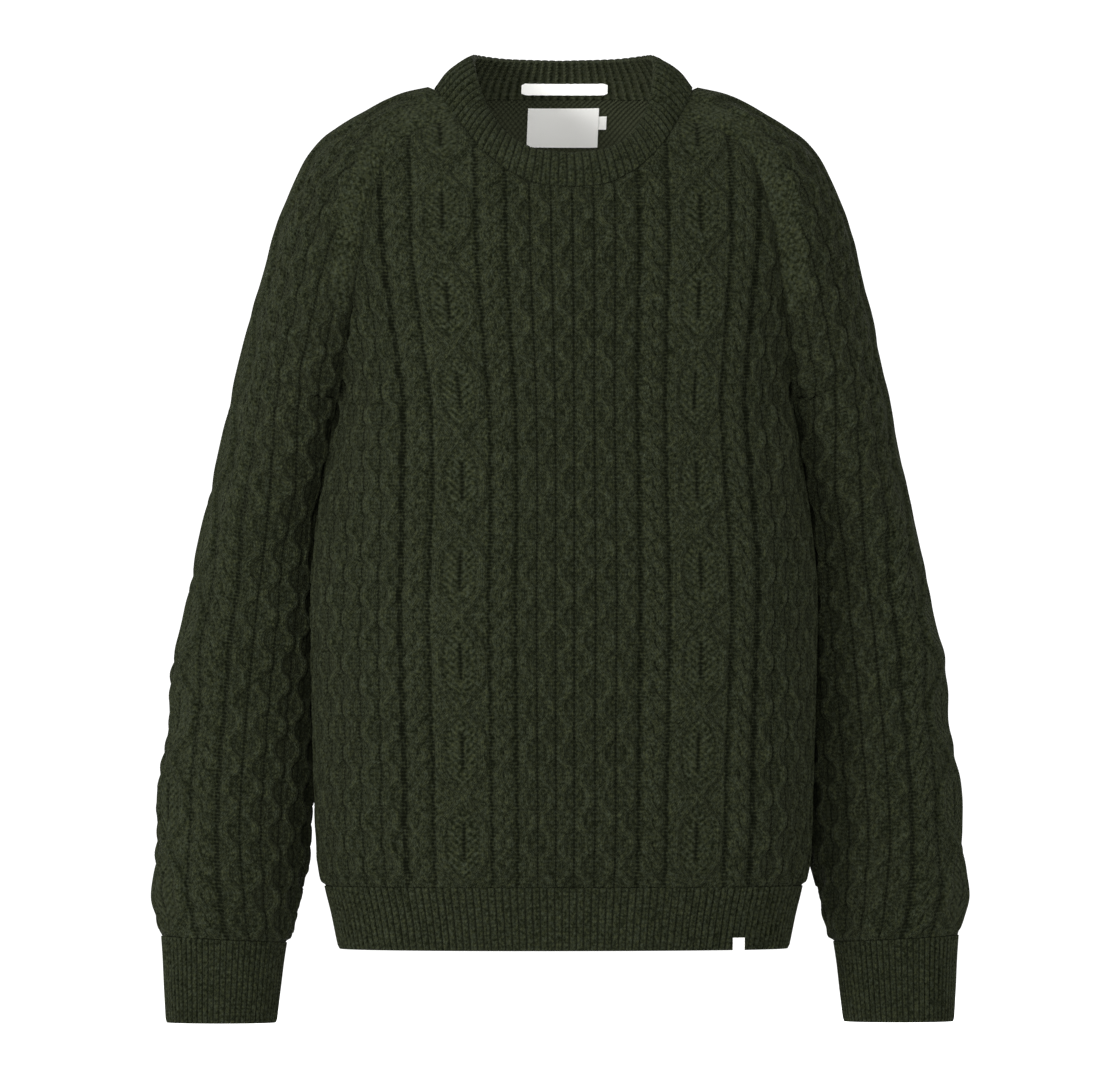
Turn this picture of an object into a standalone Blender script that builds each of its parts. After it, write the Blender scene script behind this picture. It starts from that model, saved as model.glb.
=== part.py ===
"""An aran sweater in its worn, hollow form: cabled front, back and saddle-shoulder sleeves,
ribbed collar, hem and cuffs, and four bare labels.

Metres, +Z up. The garment faces -Y and the origin is at the base of the neck, between the
shoulders. Heights are measured from there, so the hem and the cuffs are below zero.
Cloth is laid out in cloth coordinates, across and along each piece, and then set on the form.
"""

import math

import bmesh
import bpy
import numpy as np
from mathutils.bvhtree import BVHTree
from mathutils.geometry import delaunay_2d_cdt

# Knitting gauge and cloth.
STITCH = 0.00405
ROW = 0.00285
CABLE_ROWS = 6
WALL = 0.0030
RIB_WALL = 0.0034
COLLAR_WALL = 0.0040
CABLE_RELIEF = 0.0034
SEAM_GAP = 0.0003
COLLAR_GAP = 0.00045
RELIEF_FADE = 0.009
EDGE_STEP = 0.015
LINING_STEP = 0.038

# Widths of the knitted bands, from the middle of a panel outwards.
HONEYCOMB_COLUMN = 4 * STITCH
PURL_BAND = 0.0046
ROPE_BAND = 0.0184
DIAMOND_HALF = 0.0230
FRONT_HONEYCOMB_COLUMNS = 3

# Heights of the main seams and levels.
HEM_EDGE = -0.656
HEM_SEAM = -0.608
UNDERARM = -0.237
SHOULDER_CORNER = -0.046
NECK_FRONT_CORNER = -0.0215
NECK_BACK = -0.004
RIDGE_HALF_WIDTH = 0.098

# The body form: a slice at each height is a rounded oval of this half width and these depths.
OVAL_POWER = 2.2
SLICE_SAMPLES = 72
BODY_COLUMNS = ("height", "half_width", "front_depth", "back_depth")
BODY_ROWS = (
    (-0.660, 0.1690, 0.0985, 0.0965),
    (-0.656, 0.1700, 0.0990, 0.0970),
    (-0.630, 0.1755, 0.1020, 0.0995),
    (-0.608, 0.1810, 0.1055, 0.1020),
    (-0.585, 0.1850, 0.1095, 0.1045),
    (-0.560, 0.1862, 0.1112, 0.1052),
    (-0.500, 0.1880, 0.1125, 0.1050),
    (-0.390, 0.1900, 0.1140, 0.1040),
    (-0.340, 0.1865, 0.1140, 0.1055),
    (-0.300, 0.1810, 0.1135, 0.1070),
    (-0.270, 0.1765, 0.1130, 0.1080),
    (-0.237, 0.1720, 0.1120, 0.1085),
    (-0.190, 0.1755, 0.1085, 0.1085),
    (-0.145, 0.1840, 0.1030, 0.1065),
    (-0.097, 0.1960, 0.0930, 0.1000),
    (-0.075, 0.1980, 0.0860, 0.0940),
    (-0.0535, 0.1910, 0.0765, 0.0860),
    (-0.038, 0.1790, 0.0665, 0.0790),
    (-0.023, 0.1570, 0.0500, 0.0705),
    (-0.0153, 0.1430, 0.0430, 0.0655),
    (-0.0077, 0.1250, 0.0360, 0.0600),
    (-0.004, 0.1130, 0.0335, 0.0560),
    (0.000, 0.0980, 0.0310, 0.0520),
)

# The armhole seam, from the underarm up to the shoulder corner, then the shoulder seam to the
# neck. Each row says how far from the side of the body the seam lies, forward or backward.
SEAM_COLUMNS = ("height", "front", "back")
SEAM_ROWS = (
    (-0.2370, 0.0000, 0.0000),
    (-0.2360, 0.0075, 0.0080),
    (-0.2320, 0.0145, 0.0155),
    (-0.2240, 0.0210, 0.0230),
    (-0.2100, 0.0285, 0.0320),
    (-0.1900, 0.0385, 0.0430),
    (-0.1650, 0.0485, 0.0530),
    (-0.1400, 0.0560, 0.0605),
    (-0.1150, 0.0610, 0.0650),
    (-0.0900, 0.0625, 0.0665),
    (-0.0680, 0.0600, 0.0645),
    (-0.0460, 0.0530, 0.0590),
)
SHOULDER_ROWS = (
    (-0.0460, 0.0530, 0.0590),
    (-0.0380, 0.0505, 0.0570),
    (-0.0300, 0.0470, 0.0540),
    (-0.0215, 0.0420, 0.0490),
    (-0.0120, 0.0300, 0.0435),
    (-0.0040, 0.0180, 0.0354),
)

# The neck seam, from the middle of the front round one side to the middle of the back.
NECK_COLUMNS = ("round", "x", "height")
NECK_ROWS = (
    (0.00, 0.0000, -0.0765),
    (0.10, 0.0230, -0.0745),
    (0.20, 0.0430, -0.0665),
    (0.30, 0.0600, -0.0540),
    (0.38, 0.0730, -0.0400),
    (0.46, 0.0857, -0.0215),
    (0.53, 0.0925, -0.0110),
    (0.60, 0.0975, -0.0010),
    (0.68, 0.0920, -0.0040),
    (0.76, 0.0720, -0.0040),
    (0.88, 0.0380, -0.0040),
    (1.00, 0.0000, -0.0040),
)
NECK_FRONT_CORNER_ROUND = 0.46
NECK_SIDE_ROUND = 0.60
NECK_BACK_CORNER_ROUND = 0.68

# The sleeve, on the garment's +X side, from the cuff seam to the neck. Each row is a knitted
# row of the cloth: the outer middle of the sleeve, the lean of that row's plane, the reach of
# the oval inwards and forwards, and how far back the oval sits.
SLEEVE_COLUMNS = ("name", "x", "z", "lean", "reach", "depth", "back_set", "turn")
SLEEVE_ROWS = (
    ("cuff_seam", 0.3052, -0.6465, 3, 0.0475, 0.0450, 0.036, 0.024),
    ("gather", 0.3068, -0.6340, 3, 0.0500, 0.0475, 0.036, 0.024),
    ("blouse", 0.3078, -0.6040, 3, 0.0538, 0.0515, 0.037, 0.024),
    ("forearm", 0.3080, -0.5740, 4, 0.0570, 0.0545, 0.039, 0.024),
    ("below_elbow", 0.3045, -0.5300, 6, 0.0570, 0.0560, 0.044, 0.023),
    ("elbow", 0.2935, -0.4500, 9, 0.0535, 0.0580, 0.051, 0.021),
    ("above_elbow", 0.2830, -0.3900, 11, 0.0505, 0.0600, 0.053, 0.019),
    ("upper_arm", 0.2635, -0.3000, 13, 0.0455, 0.0640, 0.049, 0.015),
    ("underarm", 0.2450, -0.2170, 14, 0.0385, 0.0700, 0.032, 0.010),
    ("cap_1", 0.2345, -0.1760, 24, 0.0410, 0.0710, 0.024, 0.008),
    ("cap_2", 0.2260, -0.1450, 33, 0.0430, 0.0710, 0.018, 0.006),
    ("cap_3", 0.2175, -0.1130, 41, 0.0440, 0.0690, 0.013, 0.005),
    ("cap_4", 0.2075, -0.0840, 49, 0.0440, 0.0660, 0.009, 0.004),
    ("cap_5", 0.1925, -0.0535, 58, 0.0420, 0.0620, 0.006, 0.003),
    ("cap_6", 0.1780, -0.0370, 66, 0.0390, 0.0585, 0.004, 0.002),
    ("cap_7", 0.1570, -0.0225, 72, 0.0360, 0.0555, 0.003, 0.001),
    ("corner", 0.1430, -0.0155, 76, 0.0335, 0.0540, 0.002, 0.000),
    ("saddle", 0.1220, -0.0068, 80, 0.0300, 0.0480, 0.001, 0.000),
    ("neck", 0.0975, -0.0010, 84, 0.0255, 0.0420, 0.000, 0.000),
)
SADDLE_MOSS = 0.026
SLEEVE_CLEARANCE = 0.0085

# Cuffs: height, middle of the arm, half width across and half depth.
CUFF_COLUMNS = ("height", "x", "y", "half_width", "half_depth")
CUFF_ROWS = (
    (-0.6493, 0.2577, 0.0360, 0.0465, 0.0440),
    (-0.6650, 0.2582, 0.0360, 0.0448, 0.0428),
    (-0.6900, 0.2590, 0.0355, 0.0428, 0.0412),
    (-0.7130, 0.2598, 0.0350, 0.0408, 0.0395),
)
CUFF_RIBS = 36
HEM_RIBS_EACH = 64
COLLAR_RIBS = 60
RIB_RELIEF = 0.0016

# The collar's top edge, round the neck as the neck seam runs.
COLLAR_COLUMNS = ("round", "x", "y", "height")
COLLAR_ROWS = (
    (0.00, 0.0000, -0.0745, -0.0505),
    (0.12, 0.0230, -0.0715, -0.0480),
    (0.25, 0.0430, -0.0620, -0.0390),
    (0.38, 0.0580, -0.0450, -0.0200),
    (0.50, 0.0670, -0.0230, 0.0060),
    (0.60, 0.0700, -0.0010, 0.0230),
    (0.70, 0.0665, 0.0190, 0.0260),
    (0.84, 0.0410, 0.0385, 0.0235),
    (1.00, 0.0000, 0.0460, 0.0225),
)
COLLAR_BULGE = 0.0030
COLLAR_LEVELS = 3

# Labels, centred across on the first value, inside the back or on the hem.
LABEL_THICK = 0.0008
LABEL_COLUMNS = ("name", "x", "height", "width", "tall")
LABEL_ROWS = (
    ("neck_label", 0.004, -0.0276, 0.0545, 0.0292),
    ("size_tab", 0.0345, -0.0240, 0.0060, 0.0095),
)
STRIP_WIDTH, STRIP_TALL, STRIP_X, STRIP_HEIGHT = 0.0660, 0.0086, 0.004, 0.0012
HEM_TAB_WIDTH, HEM_TAB_TALL, HEM_TAB_X = 0.0088, 0.0100, 0.1265
FOLD_CLEARANCE = 0.0004

WOOL = (0.040, 0.046, 0.027)
RIB_WOOL = (0.042, 0.049, 0.029)
LABEL_WHITE = (0.78, 0.77, 0.74)


# ---------------------------------------------------------------- numbers


def column(rows, columns, name):
    """One named column of a table."""
    return np.array([row[columns.index(name)] for row in rows], float)


def smooth(xs, ys, at):
    """A smooth curve through the points (xs, ys) that never overshoots them, read at each value."""
    at = np.clip(np.asarray(at, float), xs[0], xs[-1])
    step = np.diff(xs)
    rise = np.diff(ys) / step
    slope = np.empty_like(ys)
    slope[0], slope[-1] = rise[0], rise[-1]
    before, after = rise[:-1], rise[1:]
    same = before * after > 0
    weight_before, weight_after = 2 * step[1:] + step[:-1], step[1:] + 2 * step[:-1]
    safe_before, safe_after = np.where(same, before, 1.0), np.where(same, after, 1.0)
    mean = (weight_before + weight_after) / (weight_before / safe_before + weight_after / safe_after)
    slope[1:-1] = np.where(same, mean, 0.0)
    left = np.clip(np.searchsorted(xs, at, side="right") - 1, 0, len(xs) - 2)
    width = step[left]
    t = (at - xs[left]) / width
    return (
        (1 + 2 * t) * (1 - t) ** 2 * ys[left]
        + t * (1 - t) ** 2 * width * slope[left]
        + t * t * (3 - 2 * t) * ys[left + 1]
        + t * t * (t - 1) * width * slope[left + 1]
    )


def read_table(rows, columns, key, name, at):
    """The smooth value of one column where the key column has the given value."""
    return smooth(column(rows, columns, key), column(rows, columns, name), at)


def ease(value):
    """0 below 0, 1 above 1, and a soft step between them."""
    value = np.clip(value, 0.0, 1.0)
    return value * value * (3 - 2 * value)


def running_length(points):
    """Distance along a row of points, starting at zero."""
    gaps = np.linalg.norm(np.diff(points, axis=0), axis=1)
    return np.concatenate([[0.0], np.cumsum(gaps)])


# ---------------------------------------------------------------- the body form


def depth_name(back):
    return "back_depth" if back else "front_depth"


def slices(height, back):
    """For each height, points along a quarter of the oval from the middle to the side."""
    half = read_table(BODY_ROWS, BODY_COLUMNS, "height", "half_width", height)[:, None]
    depth = read_table(BODY_ROWS, BODY_COLUMNS, "height", depth_name(back), height)[:, None]
    angle = np.linspace(0, math.pi / 2, SLICE_SAMPLES)[None, :]
    power = 2 / OVAL_POWER
    x = half * np.sin(angle) ** power
    y = depth * np.clip(np.cos(angle), 0, 1) ** power
    lengths = np.zeros_like(x)
    lengths[:, 1:] = np.cumsum(np.hypot(np.diff(x, axis=1), np.diff(y, axis=1)), axis=1)
    return x, y, lengths


def read_slices(keys, values, at):
    """Reads each row of values where its row of keys reaches the value asked for."""
    at = np.clip(at, keys[:, 0], keys[:, -1])
    left = np.clip((keys < at[:, None]).sum(axis=1) - 1, 0, keys.shape[1] - 2)
    rows = np.arange(len(at))
    low, high = keys[rows, left], keys[rows, left + 1]
    part = (at - low) / np.maximum(high - low, 1e-12)
    return [value[rows, left] * (1 - part) + value[rows, left + 1] * part for value in values]


def on_body(distance, height, back):
    """Points on the form, a signed distance round from the middle of the front or back."""
    distance, height = np.asarray(distance, float), np.asarray(height, float)
    x, y, lengths = slices(height, back)
    across, deep = read_slices(lengths, (x, y), np.abs(distance))
    deep = deep if back else -deep
    return np.stack([np.sign(distance) * across, deep, height], axis=1)


def distance_at_depth(depth, height, back):
    """Distance round the form from the middle to where it is this far forward or backward."""
    x, y, lengths = slices(np.asarray(height, float), back)
    return read_slices(-y, (lengths,), -np.asarray(depth, float))[0]


def distance_at_x(across, height, back):
    """Distance round the form from the middle to where it is this far to the side."""
    x, y, lengths = slices(np.asarray(height, float), back)
    return read_slices(x, (lengths,), np.asarray(across, float))[0]


def side_distance(height, back):
    return slices(np.asarray(height, float), back)[2][:, -1]


def seam_height_and_distance(part, back):
    """The armhole seam, part 0 at the underarm to 1 at the shoulder corner."""
    return seam_on_body(SEAM_ROWS, part, back)


def shoulder_height_and_distance(part, back):
    """The shoulder seam, part 0 at the armhole corner to 1 at the neck."""
    return seam_on_body(shoulder_rows(back), part, back)


def shoulder_rows(back):
    end = NECK_BACK if back else NECK_FRONT_CORNER
    return tuple(row for row in SHOULDER_ROWS if row[0] <= end + 1e-9)


def seam_on_body(rows, part, back):
    heights = column(rows, SEAM_COLUMNS, "height")
    depths = column(rows, SEAM_COLUMNS, "back" if back else "front")
    fine = np.linspace(0, 1, 160)
    along = np.linspace(0, 1, len(rows))
    fine_height, fine_depth = smooth(along, heights, fine), smooth(along, depths, fine)
    fine_distance = distance_at_depth(fine_depth, fine_height, back)
    length = running_length(np.stack([fine_distance, fine_height], axis=1))
    wanted = np.asarray(part, float) * length[-1]
    height, distance = np.interp(wanted, length, fine_height), np.interp(wanted, length, fine_distance)
    return height, distance


def neck_seam(round_part):
    """Points of the neck seam on the form, part 0 at the front middle to 1 at the back middle."""
    round_part = np.asarray(round_part, float)
    x = read_table(NECK_ROWS, NECK_COLUMNS, "round", "x", round_part)
    height = read_table(NECK_ROWS, NECK_COLUMNS, "round", "height", round_part)
    points = np.empty((len(x), 3))
    for back in (False, True):
        chosen = (round_part > NECK_SIDE_ROUND) == back
        if chosen.any():
            distance = distance_at_x(x[chosen], height[chosen], back)
            points[chosen] = on_body(distance, height[chosen], back)
    return points


# ---------------------------------------------------------------- cloth on the body


def cloth_scale(height):
    """How far the cloth is stretched round the body at a height."""
    return np.interp(height, (HEM_SEAM, -0.39, UNDERARM, -0.12), (0.95, 1.0, 0.945, 1.0))


def cloth_drift(across, height, back):
    """Cloth on one side of the front lies gathered towards the middle low down."""
    if back:
        return np.zeros_like(across)
    low = ease((-0.12 - height) / 0.22)
    pull = np.interp(-across, (0, 0.10, 0.15, 0.245), (0, 0.0115, 0.0125, 0.0))
    return np.where(across < 0, pull * low, 0.0)


class BodyCloth:
    """Cloth of the front or the back: across from the middle and along from the hem seam."""

    def __init__(self, back):
        self.back = back
        self.heights = np.linspace(HEM_SEAM, 0.0, 400)
        middle = on_body(np.full(400, 0.07), self.heights, back)
        self.along = running_length(middle)

    def to_along(self, height):
        return np.interp(height, self.heights, self.along)

    def to_height(self, along):
        return np.interp(along, self.along, self.heights)

    def to_across(self, distance, height):
        """Cloth position across for a signed distance round the body."""
        across = distance / cloth_scale(height)
        for _ in range(6):
            across = (distance - cloth_drift(across, height, self.back)) / cloth_scale(height)
        return across

    def place(self, across, along):
        height = self.to_height(along)
        distance = across * cloth_scale(height) + cloth_drift(across, height, self.back)
        limit = side_distance(height, self.back) - SEAM_GAP / 2
        return on_body(np.clip(distance, -limit, limit), height, self.back)

    def normals(self, across, along):
        step = 0.0012
        ahead = self.place(across + step, along) - self.place(across - step, along)
        up = self.place(across, along + step) - self.place(across, along - step)
        facing = np.cross(ahead, up)
        facing = -facing if self.back else facing
        return facing / np.linalg.norm(facing, axis=1)[:, None]

    def outline(self):
        """The cut of the panel, anticlockwise, as rows of across and along."""
        right = []
        sides = np.linspace(HEM_SEAM, UNDERARM, 26)[1:-1]
        base_edge = side_distance(np.array([HEM_SEAM]), self.back)[0]
        steps = int(round(base_edge / EDGE_STEP))
        hem = np.linspace(0, base_edge, steps + 1)
        right += [(d, HEM_SEAM) for d in hem]
        right += list(zip(side_distance(sides, self.back), sides))
        height, distance = seam_height_and_distance(np.linspace(0, 1, 17), self.back)
        right += list(zip(distance, height))
        height, distance = shoulder_height_and_distance(np.linspace(0, 1, 6)[1:], self.back)
        right += list(zip(distance, height))
        corner = NECK_BACK_CORNER_ROUND if self.back else NECK_FRONT_CORNER_ROUND
        middle = 1.0 if self.back else 0.0
        rounds = np.linspace(corner, middle, 14 if self.back else 19)[1:]
        x = read_table(NECK_ROWS, NECK_COLUMNS, "round", "x", rounds)
        height = read_table(NECK_ROWS, NECK_COLUMNS, "round", "height", rounds)
        right += list(zip(distance_at_x(x, height, self.back), height))
        right = np.array(right)
        left = right[-2:0:-1] * (-1, 1)
        ring = np.concatenate([right, left])
        across = self.to_across(ring[:, 0], ring[:, 1])
        return np.stack([across, self.to_along(ring[:, 1])], axis=1)


# ---------------------------------------------------------------- cloth on the arm


class SleeveCloth:
    """Cloth of the +X sleeve: across from its patterned middle (front is plus), along from the cuff."""

    ARC_SAMPLES = 96

    def __init__(self):
        names = [row[0] for row in SLEEVE_ROWS]
        path = np.stack([self.rows("x"), self.rows("z")], axis=1)
        fine = np.linspace(0, len(names) - 1, 600)
        keys = np.arange(len(names), dtype=float)
        curve = np.stack([smooth(keys, path[:, 0], fine), smooth(keys, path[:, 1], fine)], axis=1)
        length = running_length(curve)
        self.station = np.interp(keys, fine, length)
        self.end = length[-1]
        self.underarm = self.station[names.index("underarm")]
        self.corner = self.station[names.index("corner")]
        self.neck_fix = None
        self.neck_fix = self.neck_correction()

    @staticmethod
    def rows(name):
        return column([row[1:] for row in SLEEVE_ROWS], SLEEVE_COLUMNS[1:], name)

    def value(self, name, along):
        return smooth(self.station, self.rows(name), along)

    def edge_points(self, along, back):
        """Where each row ends: the inner seam below the underarm, then the armhole and shoulder."""
        points = np.empty((len(along), 3))
        low = along <= self.underarm
        cap = (along > self.underarm) & (along <= self.corner)
        top = along > self.corner
        if low.any():
            points[low] = self.inner_seam(along[low])
        for chosen, start, end, seam in (
            (cap, self.underarm, self.corner, seam_height_and_distance),
            (top, self.corner, self.end, shoulder_height_and_distance),
        ):
            if chosen.any():
                part = (along[chosen] - start) / (end - start)
                step = 0.004
                height, distance = seam(part, back)
                next_height, next_distance = seam(np.clip(part + step, 0, 1), back)
                last_height, last_distance = seam(np.clip(part - step, 0, 1), back)
                run = np.stack([next_distance - last_distance, next_height - last_height], axis=1)
                run /= np.linalg.norm(run, axis=1)[:, None]
                outward = np.stack([run[:, 1], -run[:, 0]], axis=1) * SEAM_GAP
                if start == self.underarm:
                    outward[part < 0.02] = (0.0, SEAM_GAP)
                points[chosen] = on_body(distance + outward[:, 0], height + outward[:, 1], back)
        return points

    def inner_seam(self, along):
        """The inner seam swings from the middle of the oval to the underarm point."""
        frame = self.frame(along)
        end = np.array([[0.172, 0.0, UNDERARM + SEAM_GAP]])
        centre, inward, reach = frame["centre"], frame["outward"], frame["reach"]
        plain = centre - inward * reach[:, None]
        last = self.frame(np.array([self.underarm]))
        shift = end - (last["centre"] - last["outward"] * last["reach"][:, None])
        blend = ease((along - (self.underarm - 0.11)) / 0.11)[:, None]
        return plain + shift * blend

    def frame(self, along):
        lean = np.radians(self.value("lean", along))
        outward = np.stack([np.cos(lean), np.zeros_like(lean), np.sin(lean)], axis=1)
        normal = np.stack([-np.sin(lean), np.zeros_like(lean), np.cos(lean)], axis=1)
        reach, depth = self.value("reach", along), self.value("depth", along)
        middle = np.stack(
            [self.value("x", along), self.value("back_set", along), self.value("z", along)], axis=1
        )
        return {
            "outward": outward,
            "normal": normal,
            "reach": reach,
            "depth": depth,
            "centre": middle - outward * reach[:, None],
        }

    def arcs(self, along, back):
        """For each row, points from the outer middle round to its edge, and their distances."""
        frame = self.frame(along)
        edge = self.edge_points(along, back) - frame["centre"]
        side = 1.0 if back else -1.0
        out_part = (edge * frame["outward"]).sum(1) / frame["reach"]
        side_part = side * edge[:, 1] / frame["depth"]
        lift = (edge * frame["normal"]).sum(1)
        end_angle = np.mod(np.arctan2(side_part, out_part), 2 * math.pi)
        end_size = np.hypot(side_part, out_part)
        t = np.linspace(0, 1, self.ARC_SAMPLES)[None, :]
        angle = end_angle[:, None] * t
        late = ease((t - 0.25) / 0.75)
        size = 1 + (end_size[:, None] - 1) * late
        points = (
            frame["centre"][:, None, :]
            + frame["outward"][:, None, :] * (frame["reach"][:, None] * np.cos(angle) * size)[..., None]
            + frame["normal"][:, None, :] * (lift[:, None] * late)[..., None]
        )
        points[..., 1] += side * frame["depth"][:, None] * np.sin(angle) * size
        if self.neck_fix is not None:
            points += self.neck_shift(t[0], back) * ease(
                (along - self.corner) / (self.end - self.corner)
            )[:, None, None]
        points = self.clear_of_body(points, along)
        steps = np.linalg.norm(np.diff(points, axis=1), axis=2)
        lengths = np.zeros(points.shape[:2])
        lengths[:, 1:] = np.cumsum(steps, axis=1)
        return points, lengths

    def clear_of_body(self, points, along):
        """Keeps the sleeve outside the body, touching it only along the seam."""
        x, y, height = points[..., 0], points[..., 1], points[..., 2]
        half = read_table(BODY_ROWS, BODY_COLUMNS, "height", "half_width", height)
        front = read_table(BODY_ROWS, BODY_COLUMNS, "height", "front_depth", height)
        back = read_table(BODY_ROWS, BODY_COLUMNS, "height", "back_depth", height)
        inward = np.clip(1 - (np.abs(y) / np.where(y > 0, back, front)) ** OVAL_POWER, 0, 1)
        surface = half * inward ** (1 / OVAL_POWER)
        from_edge = np.linalg.norm(points - points[:, -1:], axis=2)
        below = (self.underarm - along)[:, None]
        clear = SLEEVE_CLEARANCE * ease(np.maximum(from_edge, below) / 0.016)
        short = x - surface - clear
        soft = 0.002 * ease(np.maximum(from_edge, below) / 0.010) + 1e-6
        pushed = surface + clear + 0.5 * (short + np.hypot(short, soft))
        share = 1 - ease((along - self.underarm - 0.06) / 0.06)[:, None]
        points[..., 0] = x + (pushed - x) * share * (inward > 0)
        return points

    def neck_correction(self):
        """How far the last row, drawn plainly, is from the neck seam that it is sewn to."""
        fixes = {}
        for back in (False, True):
            points, _ = self.arcs(np.array([self.end]), back)
            corner = NECK_BACK_CORNER_ROUND if back else NECK_FRONT_CORNER_ROUND
            rounds = np.linspace(NECK_SIDE_ROUND, corner, self.ARC_SAMPLES)
            seam = neck_seam(rounds)
            fixes[back] = seam - points[0]
            ramp = np.linspace(0, 1, self.ARC_SAMPLES)[:, None]
            fixes[back] = fixes[back] - fixes[back][-1:] * ramp
        middle = (fixes[False][0] + fixes[True][0]) / 2
        for back in (False, True):
            fade = (1 - ease(np.linspace(0, 1, self.ARC_SAMPLES) / 0.2))[:, None]
            fixes[back] = fixes[back] + (middle - fixes[back][0]) * fade
        return fixes

    def neck_shift(self, t, back):
        return self.neck_fix[back][None, :, :]

    def turn(self, along):
        """The pattern's middle lies this far in front of the outermost line."""
        return self.value("turn", along) + 0.0

    def half_widths(self, along):
        """Cloth from the patterned middle to the front edge and to the back edge."""
        front = self.arcs(along, False)[1][:, -1] - self.turn(along)
        back = self.arcs(along, True)[1][:, -1] + self.turn(along)
        return front, back

    def place(self, across, along):
        from_outer = across + self.turn(along)
        points = np.empty((len(across), 3))
        for back in (False, True):
            chosen = (from_outer < 0) == back
            if chosen.any():
                arc, lengths = self.arcs(along[chosen], back)
                found = read_slices(
                    lengths, (arc[..., 0], arc[..., 1], arc[..., 2]), np.abs(from_outer[chosen])
                )
                points[chosen] = np.stack(found, axis=1)
        return points

    def normals(self, across, along):
        facing = self.plain_normals(across, along)
        front, back = self.half_widths(along)
        on_seam = (along <= self.underarm + 1e-9) & (
            (np.abs(across - front) < 1e-7) | (np.abs(across + back) < 1e-7)
        )
        if on_seam.any():
            rows = along[on_seam]
            both = self.plain_normals(front[on_seam], rows) + self.plain_normals(-back[on_seam], rows)
            facing[on_seam] = both / np.linalg.norm(both, axis=1)[:, None]
        return self.seam_normals(facing, across, along, front, back)

    def plain_normals(self, across, along):
        step = 0.0015
        front, back = self.half_widths(along)
        closed = along < self.underarm - 0.004
        inside = np.clip(across, -back + 3 * step, front - 3 * step)
        where = np.where(closed, across, inside)
        ahead = self.wrapped(where + step, along, front, back) - self.wrapped(
            where - step, along, front, back
        )
        high, low = np.clip(along + step, 0, self.end), np.clip(along - step, 0, self.end)
        part = across / np.where(across > 0, front, back)
        high_front, high_back = self.half_widths(high)
        low_front, low_back = self.half_widths(low)
        high_across = part * np.where(across > 0, high_front, high_back)
        low_across = part * np.where(across > 0, low_front, low_back)
        up = self.place(high_across, high) - self.place(low_across, low)
        facing = np.cross(up, ahead)
        return facing / np.linalg.norm(facing, axis=1)[:, None]

    def wrapped(self, across, along, front, back):
        """A place that may run past the inner seam and on round the tube."""
        round_all = front + back
        across = np.where(across > front, across - round_all, across)
        across = np.where(across < -back, across + round_all, across)
        return self.place(across, along)

    def seam_normals(self, facing, across, along, front, back):
        """Beside a flat seam the cloth faces as the body does, so both walls stand parallel."""
        near = np.minimum(front - across, across + back)
        weight = np.where(along > self.underarm, 1 - ease(near / 0.014), 0.0)
        for is_back in (False, True):
            chosen = (weight > 0) & ((across < (front - back) / 2) == is_back)
            if not chosen.any():
                continue
            cloth = BodyCloth(is_back)
            height, distance = self.seam_place(along[chosen], is_back)
            seam = cloth.normals(cloth.to_across(distance * 0.995, height), cloth.to_along(height))
            alike = (facing[chosen] * seam).sum(1)
            share = (weight[chosen] * ease((alike - 0.1) / 0.5))[:, None]
            mixed = facing[chosen] * (1 - share) + seam * share
            facing[chosen] = mixed / np.linalg.norm(mixed, axis=1)[:, None]
        return facing

    def seam_place(self, along, back):
        cap_part = np.clip((along - self.underarm) / (self.corner - self.underarm), 0, 1)
        top_part = np.clip((along - self.corner) / (self.end - self.corner), 0, 1)
        cap_height, cap_distance = seam_height_and_distance(cap_part, back)
        top_height, top_distance = shoulder_height_and_distance(top_part, back)
        top = along > self.corner
        return np.where(top, top_height, cap_height), np.where(top, top_distance, cap_distance)

    def outline(self):
        """The cut of the sleeve, anticlockwise seen from outside: front edge on the right."""
        first_front, first_back = self.half_widths(np.array([0.0]))
        hem = np.linspace(-first_back[0], first_front[0], 23)
        tube = np.linspace(0, self.underarm, 31)[1:]
        cap = np.linspace(self.underarm, self.corner, 17)[1:]
        top = np.linspace(self.corner, self.end, 6)[1:]
        up = np.concatenate([tube, cap, top])
        front, back = self.half_widths(up)
        last_front, last_back = front[-1], back[-1]
        end = np.linspace(last_front, -last_back, 17)[1:-1]
        ring = [(u, 0.0) for u in hem]
        ring += list(zip(front, up))
        ring += [(u, self.end) for u in end]
        ring += list(zip(-back[::-1], up[::-1]))
        return np.array(ring)


# ---------------------------------------------------------------- knitted relief


def rope(across, along, hand=1):
    """Two strands that twist round each other, crossing every six rows."""
    turn = math.pi * along / (CABLE_ROWS * ROW)
    spread = ROPE_BAND / 4
    heights = []
    for strand in (1, -1):
        centre = strand * spread * np.cos(turn)
        lift = 0.75 + 0.25 * strand * hand * np.sin(turn)
        across_strand = np.clip(1 - ((across - centre) / (ROPE_BAND * 0.30)) ** 2, 0, 1)
        heights.append(np.sqrt(across_strand) * lift)
    return np.maximum(*heights)


def honeycomb(across, along):
    """Strands that meet at one column line and part at the next, round hollow cells."""
    columns = across / HONEYCOMB_COLUMN
    which = np.floor(columns)
    inside = columns - which
    turn = math.pi * along / (CABLE_ROWS * ROW)
    even = np.mod(which, 2) == 0
    swing = 0.5 + 0.27 * np.where(even, 1, -1) * np.cos(turn)
    strand = np.clip(1 - ((inside - swing) / 0.30) ** 2, 0, 1)
    return np.sqrt(strand) * 0.9


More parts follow.
